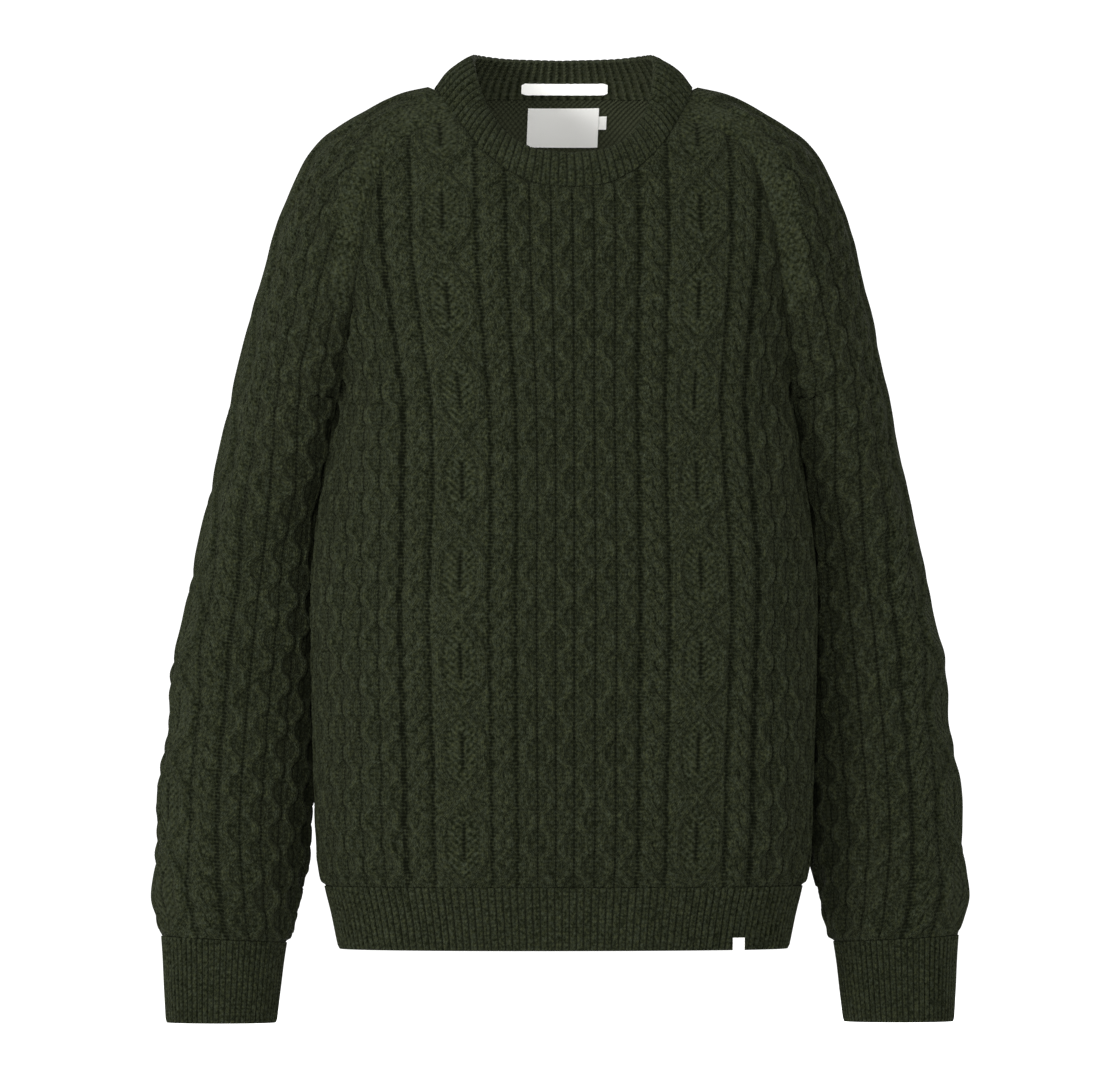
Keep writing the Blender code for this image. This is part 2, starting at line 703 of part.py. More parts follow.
def diamond(across, along):
    """Two strands that part and cross, with a ribbed leaf inside each lozenge."""
    repeat = 4 * CABLE_ROWS * ROW
    phase = np.mod(along / repeat, 1.0)
    opening = 0.70 * DIAMOND_HALF * (1 - np.abs(2 * phase - 1)) ** 0.8 + 0.0022
    opening = np.minimum(opening, 0.66 * DIAMOND_HALF)
    strand = np.clip(1 - ((np.abs(across) - opening) / 0.0052) ** 2, 0, 1)
    inside = np.clip((opening - np.abs(across)) / 0.006, 0, 1)
    leaf = inside * 0.45 * np.clip(np.abs(across) / 0.004, 0.2, 1)
    return np.maximum(np.sqrt(strand), leaf)


def banded(across, along, bands):
    """The relief of a panel made of bands: kind, start and width on each side of the middle."""
    relief = np.zeros_like(across)
    for kind, start, width in bands:
        inside = (np.abs(across) >= start) & (np.abs(across) < start + width)
        if kind == "rope":
            value = rope(np.abs(across) - start - width / 2, along)
        elif kind == "honeycomb":
            value = honeycomb(np.abs(across) - start, along)
        else:
            middle = 0.0 if start == 0 else start + width / 2
            value = diamond(np.abs(across) - middle, along)
        relief = np.where(inside, value, relief)
    return relief


def body_bands():
    """Bands of the front and the back, from the middle to the side."""
    bands, at = [], 0.0
    plan = (
        ("honeycomb", FRONT_HONEYCOMB_COLUMNS * HONEYCOMB_COLUMN),
        ("rope", ROPE_BAND),
        ("diamond", 2 * DIAMOND_HALF),
        ("rope", ROPE_BAND),
        ("honeycomb", 0.10),
    )
    for kind, width in plan:
        bands.append((kind, at, width))
        at += width + PURL_BAND
    return bands


def sleeve_bands():
    """Bands of the sleeve, from its middle to the seam."""
    at = DIAMOND_HALF + PURL_BAND
    return [
        ("diamond", 0.0, DIAMOND_HALF),
        ("rope", at, ROPE_BAND),
        ("honeycomb", at + ROPE_BAND + PURL_BAND, 0.20),
    ]


def lattice_columns(bands):
    """Columns across for the lattice: (position, whether it is half a crossing later)."""
    found = []
    for kind, start, width in bands:
        if start:
            found.append((start - PURL_BAND / 2, False))
        if kind == "rope":
            found += [(start + width * part, part != 0.5) for part in (0.25, 0.5, 0.75)]
        elif kind == "honeycomb":
            wide = width > 4 * HONEYCOMB_COLUMN
            columns = int(width / HONEYCOMB_COLUMN + 0.01)
            for index in range(columns + 1):
                if index or not start:
                    found.append((start + index * HONEYCOMB_COLUMN, False))
                if not wide and index < columns:
                    found.append((start + (index + 0.5) * HONEYCOMB_COLUMN, True))
        elif start:
            parts = ((0.17, True), (0.33, False), (0.5, True), (0.67, False), (0.83, True))
            found += [(start + width * part, late) for part, late in parts]
        else:
            found += [(0.0, True), (width * 0.36, False), (width * 0.7, True)]
    return found


def lattice(bands, length):
    """Points across and along, each column half a crossing out of step with the next."""
    step = CABLE_ROWS * ROW
    points = []
    for across, late in lattice_columns(bands):
        start = 0.5 * step if late else 0.0
        for along in np.arange(start, length, step):
            points.append((across, along))
            if across:
                points.append((-across, along))
    return np.array(points)


# ---------------------------------------------------------------- making walls


def inside_outline(points, ring, margin):
    """Which points lie inside the outline and at least a margin from it."""
    start, end = ring, np.roll(ring, -1, axis=0)
    x, y = points[:, 0][:, None], points[:, 1][:, None]
    crosses = (start[:, 1] > y) != (end[:, 1] > y)
    rise = np.where(end[:, 1] == start[:, 1], 1e-12, end[:, 1] - start[:, 1])
    hit = crosses & (x < (end[:, 0] - start[:, 0]) * (y - start[:, 1]) / rise + start[:, 0])
    return (hit.sum(axis=1) % 2 == 1) & (distance_to_outline(points, ring) > margin)


def distance_to_outline(points, ring):
    start, run = ring, np.roll(ring, -1, axis=0) - ring
    offset = points[:, None, :] - start[None]
    size = np.maximum((run**2).sum(1), 1e-16)
    part = np.clip((offset * run).sum(2) / size, 0, 1)
    return np.linalg.norm(offset - part[..., None] * run, axis=2).min(axis=1)


def triangulate(ring, inner):
    """Triangles over the outline and the points inside it. The outline's points come first."""
    points = np.concatenate([ring, inner]) * 1000
    count = len(ring)
    edges = [(i, (i + 1) % count) for i in range(count)]
    result = delaunay_2d_cdt([tuple(p) for p in points], edges, [tuple(range(count))], 1, 1e-6)
    found, faces, origin = result[0], result[2], result[3]
    back_to = [ids[0] for ids in origin]
    if len(found) != len(points):
        raise ValueError("the outline crosses itself")
    return [tuple(back_to[corner] for corner in face) for face in faces]


def new_object(name, bm, collection, material):
    mesh = bpy.data.meshes.new(name)
    bm.to_mesh(mesh)
    bm.free()
    mesh.materials.append(material)
    mesh.shade_smooth()
    mesh.set_sharp_from_angle(angle=math.radians(60))
    obj = bpy.data.objects.new(name, mesh)
    collection.objects.link(obj)
    return obj


def closed_mesh(points, faces):
    """A bmesh of the faces, its seams welded and its faces turned outwards."""
    bm = bmesh.new()
    verts = [bm.verts.new(p) for p in points]
    for face in faces:
        bm.faces.new([verts[i] for i in face])
    bmesh.ops.remove_doubles(bm, verts=bm.verts, dist=2e-6)
    bmesh.ops.recalc_face_normals(bm, faces=bm.faces)
    if bm.calc_volume(signed=True) < 0:
        bmesh.ops.reverse_faces(bm, faces=bm.faces)
    return bm


def panel_wall(name, cloth, bands, length, seam_edges, collection, material, flip=False):
    """A cabled panel: outer points raised by the pattern over a plain inside."""
    ring = cloth.outline()
    points = lattice(bands, length)
    outer = points[inside_outline(points, ring, 0.0042)]
    span = np.arange(-0.30, 0.3001, LINING_STEP)
    rows = np.arange(LINING_STEP / 2, length, LINING_STEP)
    grid = np.array([(x, y) for y in rows for x in span])
    lining = grid[inside_outline(grid, ring, 0.012)]
    outer_faces = triangulate(ring, outer)
    inner_faces = triangulate(ring, lining)
    count = len(ring)

    flat = np.concatenate([ring, outer])
    facing = cloth.normals(flat[:, 0], flat[:, 1])
    relief = banded(flat[:, 0], flat[:, 1], bands) * CABLE_RELIEF
    relief = relief * ease(distance_to_outline(flat, ring) / RELIEF_FADE)
    relief = plain_near_cap(cloth, flat, relief)
    outside = cloth.place(flat[:, 0], flat[:, 1]) + facing * relief[:, None]
    flat = np.concatenate([ring, lining])
    facing = cloth.normals(flat[:, 0], flat[:, 1])
    inside = cloth.place(flat[:, 0], flat[:, 1]) - facing * WALL

    faces = [tuple(face) for face in outer_faces]
    shift = len(outside)
    faces += [tuple(i + shift for i in reversed(face)) for face in inner_faces]
    for i in range(count):
        j = (i + 1) % count
        if seam_edges(ring[i], ring[j]):
            faces.append((j, i, i + shift, j + shift))
    points = np.concatenate([outside, inside])
    if flip:
        points = points * (-1, 1, 1)
    return new_object(name, closed_mesh(points, faces), collection, material)


def plain_near_cap(cloth, flat, relief):
    """Beside the armhole the sleeve's cap and saddle are plain moss stitch."""
    if isinstance(cloth, BodyCloth):
        return relief
    front, back = cloth.half_widths(flat[:, 1])
    near = np.minimum(front - flat[:, 0], flat[:, 0] + back)
    high = ease((flat[:, 1] - cloth.underarm - 0.05) / 0.08)
    return relief * (1 - high * (1 - ease((near - SADDLE_MOSS) / 0.008)))


def ring_wall(name, levels, lining_levels, thickness, closed, collection, material):
    """A ribbed band: levels of outer points, joined to fewer points inside.

    Each level is a pair of points and outward facings. With closed false the band has two ends.
    """
    points = [p for level, _ in levels for p in level]
    columns = len(levels[0][0])
    faces = grid_faces(len(levels), columns, 0, closed, False)
    shift = len(points)
    inner_columns = len(lining_levels[0][0])
    for level, facing in lining_levels:
        points += list(level - facing * thickness)
    faces += grid_faces(len(lining_levels), inner_columns, shift, closed, True)
    top, inner_top = (len(levels) - 1) * columns, shift + (len(lining_levels) - 1) * inner_columns
    faces += zipper(0, columns, shift, inner_columns, closed, False)
    faces += zipper(top, columns, inner_top, inner_columns, closed, True)
    if not closed:
        for end, inner_end, turned in ((0, 0, True), (columns - 1, inner_columns - 1, False)):
            loop = [end + columns * i for i in range(len(levels))]
            inner = [shift + inner_end + inner_columns * i for i in range(len(lining_levels))]
            face = tuple(loop + inner[::-1])
            faces.append(face[::-1] if turned else face)
    return new_object(name, closed_mesh(np.array(points), faces), collection, material)


def grid_faces(rows, columns, start, closed, turned):
    faces = []
    for row in range(rows - 1):
        for i in range(columns if closed else columns - 1):
            j = (i + 1) % columns
            low, high = start + row * columns, start + (row + 1) * columns
            face = (low + i, low + j, high + j, high + i)
            faces.append(face[::-1] if turned else face)
    return faces


def zipper(first, count, second, other_count, closed, turned):
    """Triangles between two rows with different numbers of points."""
    faces, i, j = [], 0, 0
    last_i, last_j = (count, other_count) if closed else (count - 1, other_count - 1)
    while i < last_i or j < last_j:
        a, b = first + i % count, second + j % other_count
        if j >= last_j or (i < last_i and (i + 1) / last_i <= (j + 1) / last_j):
            face = (a, b, first + (i + 1) % count)
            i += 1
        else:
            face = (a, b, second + (j + 1) % other_count)
            j += 1
        faces.append(face if turned else face[::-1])
    return faces


# ---------------------------------------------------------------- ribs


def rib_relief(count):
    """Heights of rib tops and furrows, two points a rib."""
    return np.where(np.arange(count) % 2 == 0, 1.0, 0.0) * RIB_RELIEF


def hem_rib(name, back, collection, material):
    """Half of the ribbed hem, front or back."""

    def level(height, count, lift):
        heights = np.full(count, height)
        edge = side_distance(heights, back) - SEAM_GAP / 2
        distance = np.linspace(-1, 1, count) * edge
        points = on_body(distance, heights, back)
        step = 0.001
        ahead = on_body(distance + step, heights, back) - on_body(distance - step, heights, back)
        facing = np.cross(ahead, (0, 0, 1))
        facing = (-facing if back else facing) / np.linalg.norm(facing, axis=1)[:, None]
        return points + facing * lift[:, None], facing

    count = 2 * HEM_RIBS_EACH + 1
    heights = (HEM_EDGE, (HEM_EDGE + HEM_SEAM) / 2, HEM_SEAM - SEAM_GAP)
    inner_count = 17
    levels = [level(h, count, rib_relief(count)) for h in (heights[0], heights[2])]
    lining = [level(h, inner_count, np.zeros(inner_count)) for h in (heights[0], heights[2])]
    return ring_wall(name, levels, lining, RIB_WALL, False, collection, material)


def cuff_level(sleeve, height, count, lift, side):
    """A level of the cuff. Its top follows the end of the sleeve, which leans with the arm."""
    angle = np.linspace(0, 2 * math.pi, count, endpoint=False)
    sizes = {
        key: float(read_table(CUFF_ROWS[::-1], CUFF_COLUMNS, "height", key, height))
        for key in CUFF_COLUMNS[1:]
    }
    wide, deep = sizes["half_width"], sizes["half_depth"]
    facing = np.stack([np.cos(angle) / wide, np.sin(angle) / deep, 0 * angle], axis=1)
    facing /= np.linalg.norm(facing, axis=1)[:, None]
    lean = math.radians(float(sleeve.value("lean", 0.0)))
    share = (height - CUFF_ROWS[-1][0]) / (CUFF_ROWS[0][0] - CUFF_ROWS[-1][0])
    tilt = math.tan(lean) * share * (wide * np.cos(angle))
    points = np.stack(
        [
            sizes["x"] + wide * np.cos(angle),
            sizes["y"] + deep * np.sin(angle),
            np.full(count, height) + tilt,
        ],
        axis=1,
    )
    points = points + facing * lift[:, None]
    return points * (side, 1, 1), facing * (side, 1, 1)


def cuff(name, sleeve, side, collection, material):
    """A ribbed cuff, on the +X side or mirrored."""
    count, inner_count = 2 * CUFF_RIBS, 18
    heights = (CUFF_ROWS[-1][0], CUFF_ROWS[1][0], CUFF_ROWS[0][0])
    levels = [cuff_level(sleeve, h, count, rib_relief(count), side) for h in heights]
    lining = [cuff_level(sleeve, h, inner_count, np.zeros(inner_count), side) for h in heights[::2]]
    return ring_wall(name, levels, lining, RIB_WALL, True, collection, material)


def neck_facing(half):
    """The way the cloth faces along the neck seam."""
    facing = np.empty((len(half), 3))
    for back in (False, True):
        chosen = (half > NECK_SIDE_ROUND) == back
        cloth = BodyCloth(back)
        x = read_table(NECK_ROWS, NECK_COLUMNS, "round", "x", half[chosen])
        height = read_table(NECK_ROWS, NECK_COLUMNS, "round", "height", half[chosen])
        across = cloth.to_across(distance_at_x(x, height, back), height)
        facing[chosen] = cloth.normals(across, cloth.to_along(height))
    return facing


def even_rounds(parts):
    """Values round the neck seam that are evenly spaced along it."""
    rounds = np.linspace(0, 1, 300)
    length = running_length(neck_seam(rounds))
    return np.interp(parts * length[-1], length, rounds)


def unit(vectors):
    return vectors / np.linalg.norm(vectors, axis=1)[:, None]


def collar_level(part, count, lift):
    """A level of the collar, part 0 at the neck seam to 1 at its top edge."""
    around = np.linspace(0, 2, count, endpoint=False)
    side = np.where(around > 1, -1.0, 1.0)
    half = even_rounds(np.where(around > 1, 2 - around, around))
    base = neck_seam(half)
    top = np.stack(
        [read_table(COLLAR_ROWS, COLLAR_COLUMNS, "round", key, half) for key in ("x", "y", "height")],
        axis=1,
    )
    step = 0.004
    rise = unit(top - base)
    ahead = unit(neck_seam(np.clip(half + step, 0, 1)) - neck_seam(np.clip(half - step, 0, 1)))
    standing = unit(np.cross(ahead, rise))
    cloth = neck_facing(half)
    facing = unit(cloth + (standing - cloth) * float(ease(part / 0.5)))
    up = unit(rise - cloth * (rise * cloth).sum(1)[:, None] - ahead * (rise * ahead).sum(1)[:, None])
    bulge = COLLAR_BULGE * math.sin(math.pi * part)
    gap = COLLAR_GAP * (1 + np.exp(-(((half - NECK_BACK_CORNER_ROUND) / 0.05) ** 2)))
    points = base * (1 - part) + top * part + up * (gap * (1 - part))[:, None]
    points = points + facing * (bulge + lift[:, None])
    mirror = np.stack([side, np.ones(count), np.ones(count)], axis=1)
    return points * mirror, facing * mirror


def collar_rib(collection, material):
    count, inner_count = 2 * COLLAR_RIBS, 40
    parts = np.linspace(0, 1, COLLAR_LEVELS)
    levels = [collar_level(part, count, rib_relief(count)) for part in parts]
    lining = [collar_level(part, inner_count, np.zeros(inner_count)) for part in parts]
    return ring_wall("collar_rib", levels, lining, COLLAR_WALL, True, collection, material)


# ---------------------------------------------------------------- labels


def patch(name, points, facing, columns, thickness, collection, material):
    """A thin label from a grid of points, thickened along its facings."""
    rows = len(points) // columns
    both = np.concatenate([points, points + facing * thickness])
    shift = len(points)
    faces = grid_faces(rows, columns, 0, False, False) + grid_faces(rows, columns, shift, False, True)
    ring = [i for i in range(columns)]
    ring += [row * columns + columns - 1 for row in range(1, rows)]
    ring += [(rows - 1) * columns + i for i in range(columns - 2, -1, -1)]
    ring += [row * columns for row in range(rows - 2, 0, -1)]
    for here, there in zip(ring, ring[1:] + ring[:1]):
        faces.append((there, here, here + shift, there + shift))
    return new_object(name, closed_mesh(both, faces), collection, material)


def laid_on(panel, across, heights):
    """Points on the inside of a solid's back, and the way they face."""
    tree = BVHTree.FromPolygons(
        [v.co[:] for v in panel.data.vertices], [tuple(p.vertices) for p in panel.data.polygons]
    )
    points, facings = [], []
    for side, up in zip(across, heights):
        hit, normal = tree.ray_cast((side, 0.0, up), (0.0, 1.0, 0.0))[:2]
        points.append(np.array(hit) + np.array(normal) * FOLD_CLEARANCE)
        facings.append(np.array(normal))
    return np.array(points), np.array(facings)


def inside_back_label(name, x, height, width, tall, panel, collection, material):
    """A label lying on the inner skin of the back panel."""
    columns, rows = 7, 4
    across, heights = np.meshgrid(
        x + np.linspace(-0.5, 0.5, columns) * width, height + np.linspace(-0.5, 0.5, rows) * tall
    )
    points, facings = laid_on(panel, across.ravel(), heights.ravel())
    return patch(name, points, facings, columns, LABEL_THICK, collection, material)


def strip_label(collar, collection, material):
    """The long label with rounded corners, on the inside of the collar over the back neck seam."""
    columns, rows = 15, 3
    across, up = np.meshgrid(np.linspace(-0.5, 0.5, columns), np.linspace(-0.5, 0.5, rows))
    across, up = across.ravel(), up.ravel()
    from_end = np.clip((0.5 - np.abs(across)) * STRIP_WIDTH / (STRIP_TALL / 4), 0, 1)
    squeeze = 0.72 + 0.28 * np.sqrt(1 - (1 - from_end) ** 2)
    points, facings = laid_on(
        collar, STRIP_X + across * STRIP_WIDTH, STRIP_HEIGHT + up * STRIP_TALL * squeeze
    )
    return patch("neck_strip_label", points, facings, columns, LABEL_THICK, collection, material)


def hem_tab(collection, material):
    """A small tab sewn round the bottom edge of the hem, seen on the front."""
    columns, rows = 3, 3
    across, heights = np.meshgrid(
        HEM_TAB_X + np.linspace(-0.5, 0.5, columns) * HEM_TAB_WIDTH,
        HEM_EDGE - 0.0012 + np.linspace(0, 1, rows) * HEM_TAB_TALL,
    )
    across, heights = across.ravel(), heights.ravel()
    distance = distance_at_x(across, heights, False)
    points = on_body(distance, heights, False)
    ahead = on_body(distance + 0.001, heights, False) - on_body(distance - 0.001, heights, False)
    facing = np.cross(ahead, (0, 0, 1))
    facing /= np.linalg.norm(facing, axis=1)[:, None]
    points = points + facing * (RIB_RELIEF + FOLD_CLEARANCE)
    return patch("hem_tab", points, facing, columns, LABEL_THICK, collection, material)


# ---------------------------------------------------------------- the whole sweater


def fresh_collection(name):
    for obj in list(bpy.data.objects):
        bpy.data.objects.remove(obj, do_unlink=True)
    collection = bpy.data.collections.new(name)
    bpy.context.scene.collection.children.link(collection)
    return collection


def finish(name, colour, roughness):
    material = bpy.data.materials.new(name)
    material.use_nodes = True
    shader = material.node_tree.nodes["Principled BSDF"]
    shader.inputs["Base Color"].default_value = (*colour, 1)
    shader.inputs["Roughness"].default_value = roughness
    shader.inputs["Metallic"].default_value = 0.0
    return material


def main():
    collection = fresh_collection("aran_sweater")
    wool, rib_wool = finish("wool_cables", WOOL, 0.95), finish("wool_rib", RIB_WOOL, 0.95)
    label = finish("label_white", LABEL_WHITE, 0.8)

    front, back = BodyCloth(False), BodyCloth(True)
    body_length = front.along[-1]
    every_edge = lambda here, there: True
    panel_wall("front_panel", front, body_bands(), body_length, every_edge, collection, wool)
    back_panel = panel_wall(
        "back_panel", back, body_bands(), back.along[-1], every_edge, collection, wool
    )

    sleeve = SleeveCloth()

    def open_edge(here, there):
        """The inner seam joins the sleeve to itself, so it has no rim."""
        low = max(here[1], there[1]) <= sleeve.underarm + 1e-9
        return not (low and abs(here[1] - there[1]) > 1e-9)

    for name, flip in (("sleeve_right", False), ("sleeve_left", True)):
        panel_wall(name, sleeve, sleeve_bands(), sleeve.end, open_edge, collection, wool, flip)
    cuff("cuff_right", sleeve, 1, collection, rib_wool)
    cuff("cuff_left", sleeve, -1, collection, rib_wool)
    hem_rib("hem_rib_front", False, collection, rib_wool)
    hem_rib("hem_rib_back", True, collection, rib_wool)
    collar = collar_rib(collection, rib_wool)
    for name, x, height, width, tall in LABEL_ROWS:
        inside_back_label(name, x, height, width, tall, back_panel, collection, label)
    strip_label(collar, collection, label)
    hem_tab(collection, label)


main()
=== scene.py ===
"""Looks of an aran sweater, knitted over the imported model.

Every panel is laid out in cloth coordinates, across and along the knitting, and then set on the
garment's worn form. Cables are modelled in the mesh, single stitches in the wool's own bump.
Metres, +Z up; the garment faces -Y and the origin is at the base of the neck.
"""

import logging
import math
from dataclasses import dataclass, field, replace
from enum import Enum

import bmesh
import bpy
import numpy as np
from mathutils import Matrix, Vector
from mathutils.bvhtree import BVHTree
from mathutils.geometry import delaunay_2d_cdt

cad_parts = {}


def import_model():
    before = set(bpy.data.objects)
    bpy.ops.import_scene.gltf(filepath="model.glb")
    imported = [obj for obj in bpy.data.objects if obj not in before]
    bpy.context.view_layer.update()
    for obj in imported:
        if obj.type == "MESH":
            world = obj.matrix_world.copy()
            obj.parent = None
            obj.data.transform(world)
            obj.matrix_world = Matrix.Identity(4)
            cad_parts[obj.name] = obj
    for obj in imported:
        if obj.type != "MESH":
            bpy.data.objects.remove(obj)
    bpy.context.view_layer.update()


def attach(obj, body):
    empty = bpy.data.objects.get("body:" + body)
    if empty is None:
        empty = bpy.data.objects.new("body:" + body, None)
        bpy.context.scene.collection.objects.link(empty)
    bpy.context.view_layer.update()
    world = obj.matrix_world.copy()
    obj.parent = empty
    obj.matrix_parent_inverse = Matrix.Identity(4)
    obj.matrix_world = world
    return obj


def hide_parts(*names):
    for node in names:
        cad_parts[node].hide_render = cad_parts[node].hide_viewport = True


LOG = logging.getLogger("aran_sweater")
Array = np.ndarray


def smooth(xs: Array, ys: Array, at: Array) -> Array:
    """Read a smooth curve that never overshoots its points.

    Args:
        xs: Rising positions of the points.
        ys: Values at the points.
        at: Where to read.

    Returns:
        The values read.
    """
    at = np.clip(np.asarray(at, float), xs[0], xs[-1])
    step = np.diff(xs)
    rise = np.diff(ys) / step
    slope = np.empty_like(ys)
    slope[0], slope[-1] = rise[0], rise[-1]
    before, after = rise[:-1], rise[1:]
    same = before * after > 0
    near, far = 2 * step[1:] + step[:-1], step[1:] + 2 * step[:-1]
    safe_before, safe_after = np.where(same, before, 1.0), np.where(same, after, 1.0)
    slope[1:-1] = np.where(same, (near + far) / (near / safe_before + far / safe_after), 0.0)
    left = np.clip(np.searchsorted(xs, at, side="right") - 1, 0, len(xs) - 2)
    width = step[left]
    t = (at - xs[left]) / width
    return (
        (1 + 2 * t) * (1 - t) ** 2 * ys[left]
        + t * (1 - t) ** 2 * width * slope[left]
        + t * t * (3 - 2 * t) * ys[left + 1]
        + t * t * (t - 1) * width * slope[left + 1]
    )


@dataclass(frozen=True)
class Table:
    """Rows of sizes under named columns, of which the first one rises from row to row."""

    columns: tuple
    rows: tuple

    def column(self, name: str) -> Array:
        """Return the values of one named column."""
        return np.array([row[self.columns.index(name)] for row in self.rows], float)

    def read(self, name: str, at: Array) -> Array:
        """Return smooth values of a column, where the first column has the given values."""
        return smooth(self.column(self.columns[0]), self.column(name), at)


PHOTO_WIDTH = 1119
METRES_PER_PIXEL = 0.000765
CAMERA_AZIMUTH = math.radians(-4.0)
CAMERA_DISTANCE = 14.0
SENSOR = 0.036
VIEW_CENTRE = (-0.0011, 0.03, -0.3443)

STITCH = 0.00405
ROW = 0.00285
CABLE = 6 * ROW
VEIN_SLOPE = 0.80
# Painted light on the inside of the cabled pieces, as a share of the lighter wool colour.
LINING_PAINTED_LIGHT = 0.55
RIM_ANGLE = math.radians(72)
LABEL_ANGLE = math.radians(50)
WELD_DISTANCE = 2e-6
WALL = 0.0030
RIB_WALL = 0.0034
COLLAR_WALL = 0.0040
SEAM_GAP = 0.0001
COLLAR_GAP = 0.00015
MESH_STEP = (STITCH / 3, 0.0024)
LINING_STEP = (0.012, 0.012)

HONEYCOMB_COLUMN = 4 * STITCH
PURL_BAND = STITCH
ROPE_BAND = 14 * STITCH / 3
DIAMOND_HALF = 17 * STITCH / 3
FRONT_HONEYCOMB_COLUMNS = 3
BODY_SIDE, SLEEVE_SIDE = 0.10, 0.20

# Sizes within the patterns, in metres. The honeycomb's swing and strands are in its columns, and
# its snap is a plain number.
ROPE_SWING = ROPE_BAND / 4
ROPE_STRAND_HALF = ROPE_BAND * 0.29
HONEYCOMB_SWING = 0.27
HONEYCOMB_SNAP = 1.6
HONEYCOMB_STRAND_HALF = 0.30
HONEYCOMB_UNDER_HALF = 0.27
HONEYCOMB_SLIT = 0.0011
DIAMOND_LENGTH = 4 * CABLE
DIAMOND_CLOSED = 0.0016
DIAMOND_SPREAD = 0.0168
DIAMOND_STRAND_HALF = 0.0046
DIAMOND_OUTLINE = 0.0045
LEAF_INSET = 0.0036
LEAF_SLIT = 0.0017

# Painted shade in the furrows beside the strands: how dark it is drawn, where 0 is not at all, and
# how wide. A crevice's place and width are in honeycomb columns, the rest in metres.
PURL_DARKNESS = 0.30
CHANNEL_DARKNESS, CHANNEL_WIDTH, CHANNEL_WAVE = 1.45, 0.0014, 0.0007
CREVICE_DARKNESS, CREVICE_PLACE, CREVICE_WIDTH = 0.78, 0.31, 0.066
OUTLINE_DARKNESS, OUTLINE_WIDTH = 0.66, 0.0012

# About how long each edge of the cloth is, which sets how many points draw it.
SIDE_LENGTH = 0.371
ARMHOLE_LENGTH = 0.235
SHOULDER_LENGTH = 0.065
HALF_NECK_LENGTH = 0.12
SLEEVE_SEAM_LENGTH = 0.43
WRIST_LENGTH = 0.30
SADDLE_END_LENGTH = 0.085

# How finely the cloth is laid out and measured, and how far from an edge its relief starts.
OUTLINE_STEP = 0.0020
OUTER_MARGIN = 0.0010
LINING_MARGIN = 0.006
RELIEF_EDGE = 0.005
FOLD_EDGE = 0.030
FORM_ROWS = 400
MEASURED_ACROSS = 0.07
BODY_PROBE = 0.0012
SLEEVE_PROBE = 0.0015
LEVEL_PROBE = 0.001
ROUND_PROBE = 0.004

HEM_EDGE = -0.656
HEM_SEAM = -0.608
UNDERARM = -0.237
NECK_FRONT_CORNER = -0.0215
NECK_BACK = -0.004

# The body cloth's stretch round the form by height, and how far its left side is gathered in.
STRETCH_HEIGHTS, STRETCH = (HEM_SEAM, -0.39, UNDERARM, -0.12), (0.95, 1.0, 0.945, 1.0)
GATHER_ACROSS, GATHER = (0, 0.10, 0.15, 0.245), (0, 0.0115, 0.0125, 0.0)
GATHER_TOP, GATHER_EASE = -0.12, 0.22

OVAL_POWER = 2.2
BODY_FORM = Table(
    ("height", "half_width", "front_depth", "back_depth"),
    (
        (-0.660, 0.1690, 0.0985, 0.0965),
        (-0.656, 0.1700, 0.0990, 0.0970),
        (-0.630, 0.1755, 0.1020, 0.0995),
        (-0.608, 0.1810, 0.1055, 0.1020),
        (-0.585, 0.1850, 0.1095, 0.1045),
        (-0.560, 0.1862, 0.1112, 0.1052),
        (-0.500, 0.1880, 0.1125, 0.1050),
        (-0.390, 0.1900, 0.1140, 0.1040),
        (-0.340, 0.1865, 0.1140, 0.1055),
        (-0.300, 0.1810, 0.1135, 0.1070),
        (-0.270, 0.1765, 0.1130, 0.1080),
        (-0.237, 0.1720, 0.1120, 0.1085),
        (-0.190, 0.1755, 0.1085, 0.1085),
        (-0.145, 0.1840, 0.1030, 0.1065),
        (-0.097, 0.1960, 0.0930, 0.1000),
        (-0.075, 0.1980, 0.0860, 0.0940),
        (-0.0535, 0.1910, 0.0765, 0.0860),
        (-0.038, 0.1790, 0.0665, 0.0790),
        (-0.023, 0.1570, 0.0500, 0.0705),
        (-0.0153, 0.1430, 0.0430, 0.0655),
        (-0.0077, 0.1250, 0.0360, 0.0600),
        (-0.004, 0.1130, 0.0335, 0.0560),
        (0.000, 0.0980, 0.0310, 0.0520),
    ),
)

SEAM_COLUMNS = ("height", "front", "back")
ARMHOLE_SEAM = Table(
    SEAM_COLUMNS,
    (
        (-0.2370, 0.0000, 0.0000),
        (-0.2360, 0.0075, 0.0080),
        (-0.2320, 0.0145, 0.0155),
        (-0.2240, 0.0210, 0.0230),
        (-0.2100, 0.0285, 0.0320),
        (-0.1900, 0.0385, 0.0430),
        (-0.1650, 0.0485, 0.0530),
        (-0.1400, 0.0560, 0.0605),
        (-0.1150, 0.0610, 0.0650),
        (-0.0900, 0.0625, 0.0665),
        (-0.0680, 0.0600, 0.0645),
        (-0.0460, 0.0530, 0.0590),
    ),
)
SHOULDER_SEAM = Table(
    SEAM_COLUMNS,
    (
        (-0.0460, 0.0530, 0.0590),
        (-0.0380, 0.0505, 0.0570),
        (-0.0300, 0.0470, 0.0540),
        (-0.0215, 0.0420, 0.0490),
        (-0.0120, 0.0300, 0.0435),
        (-0.0040, 0.0180, 0.0354),
    ),
)

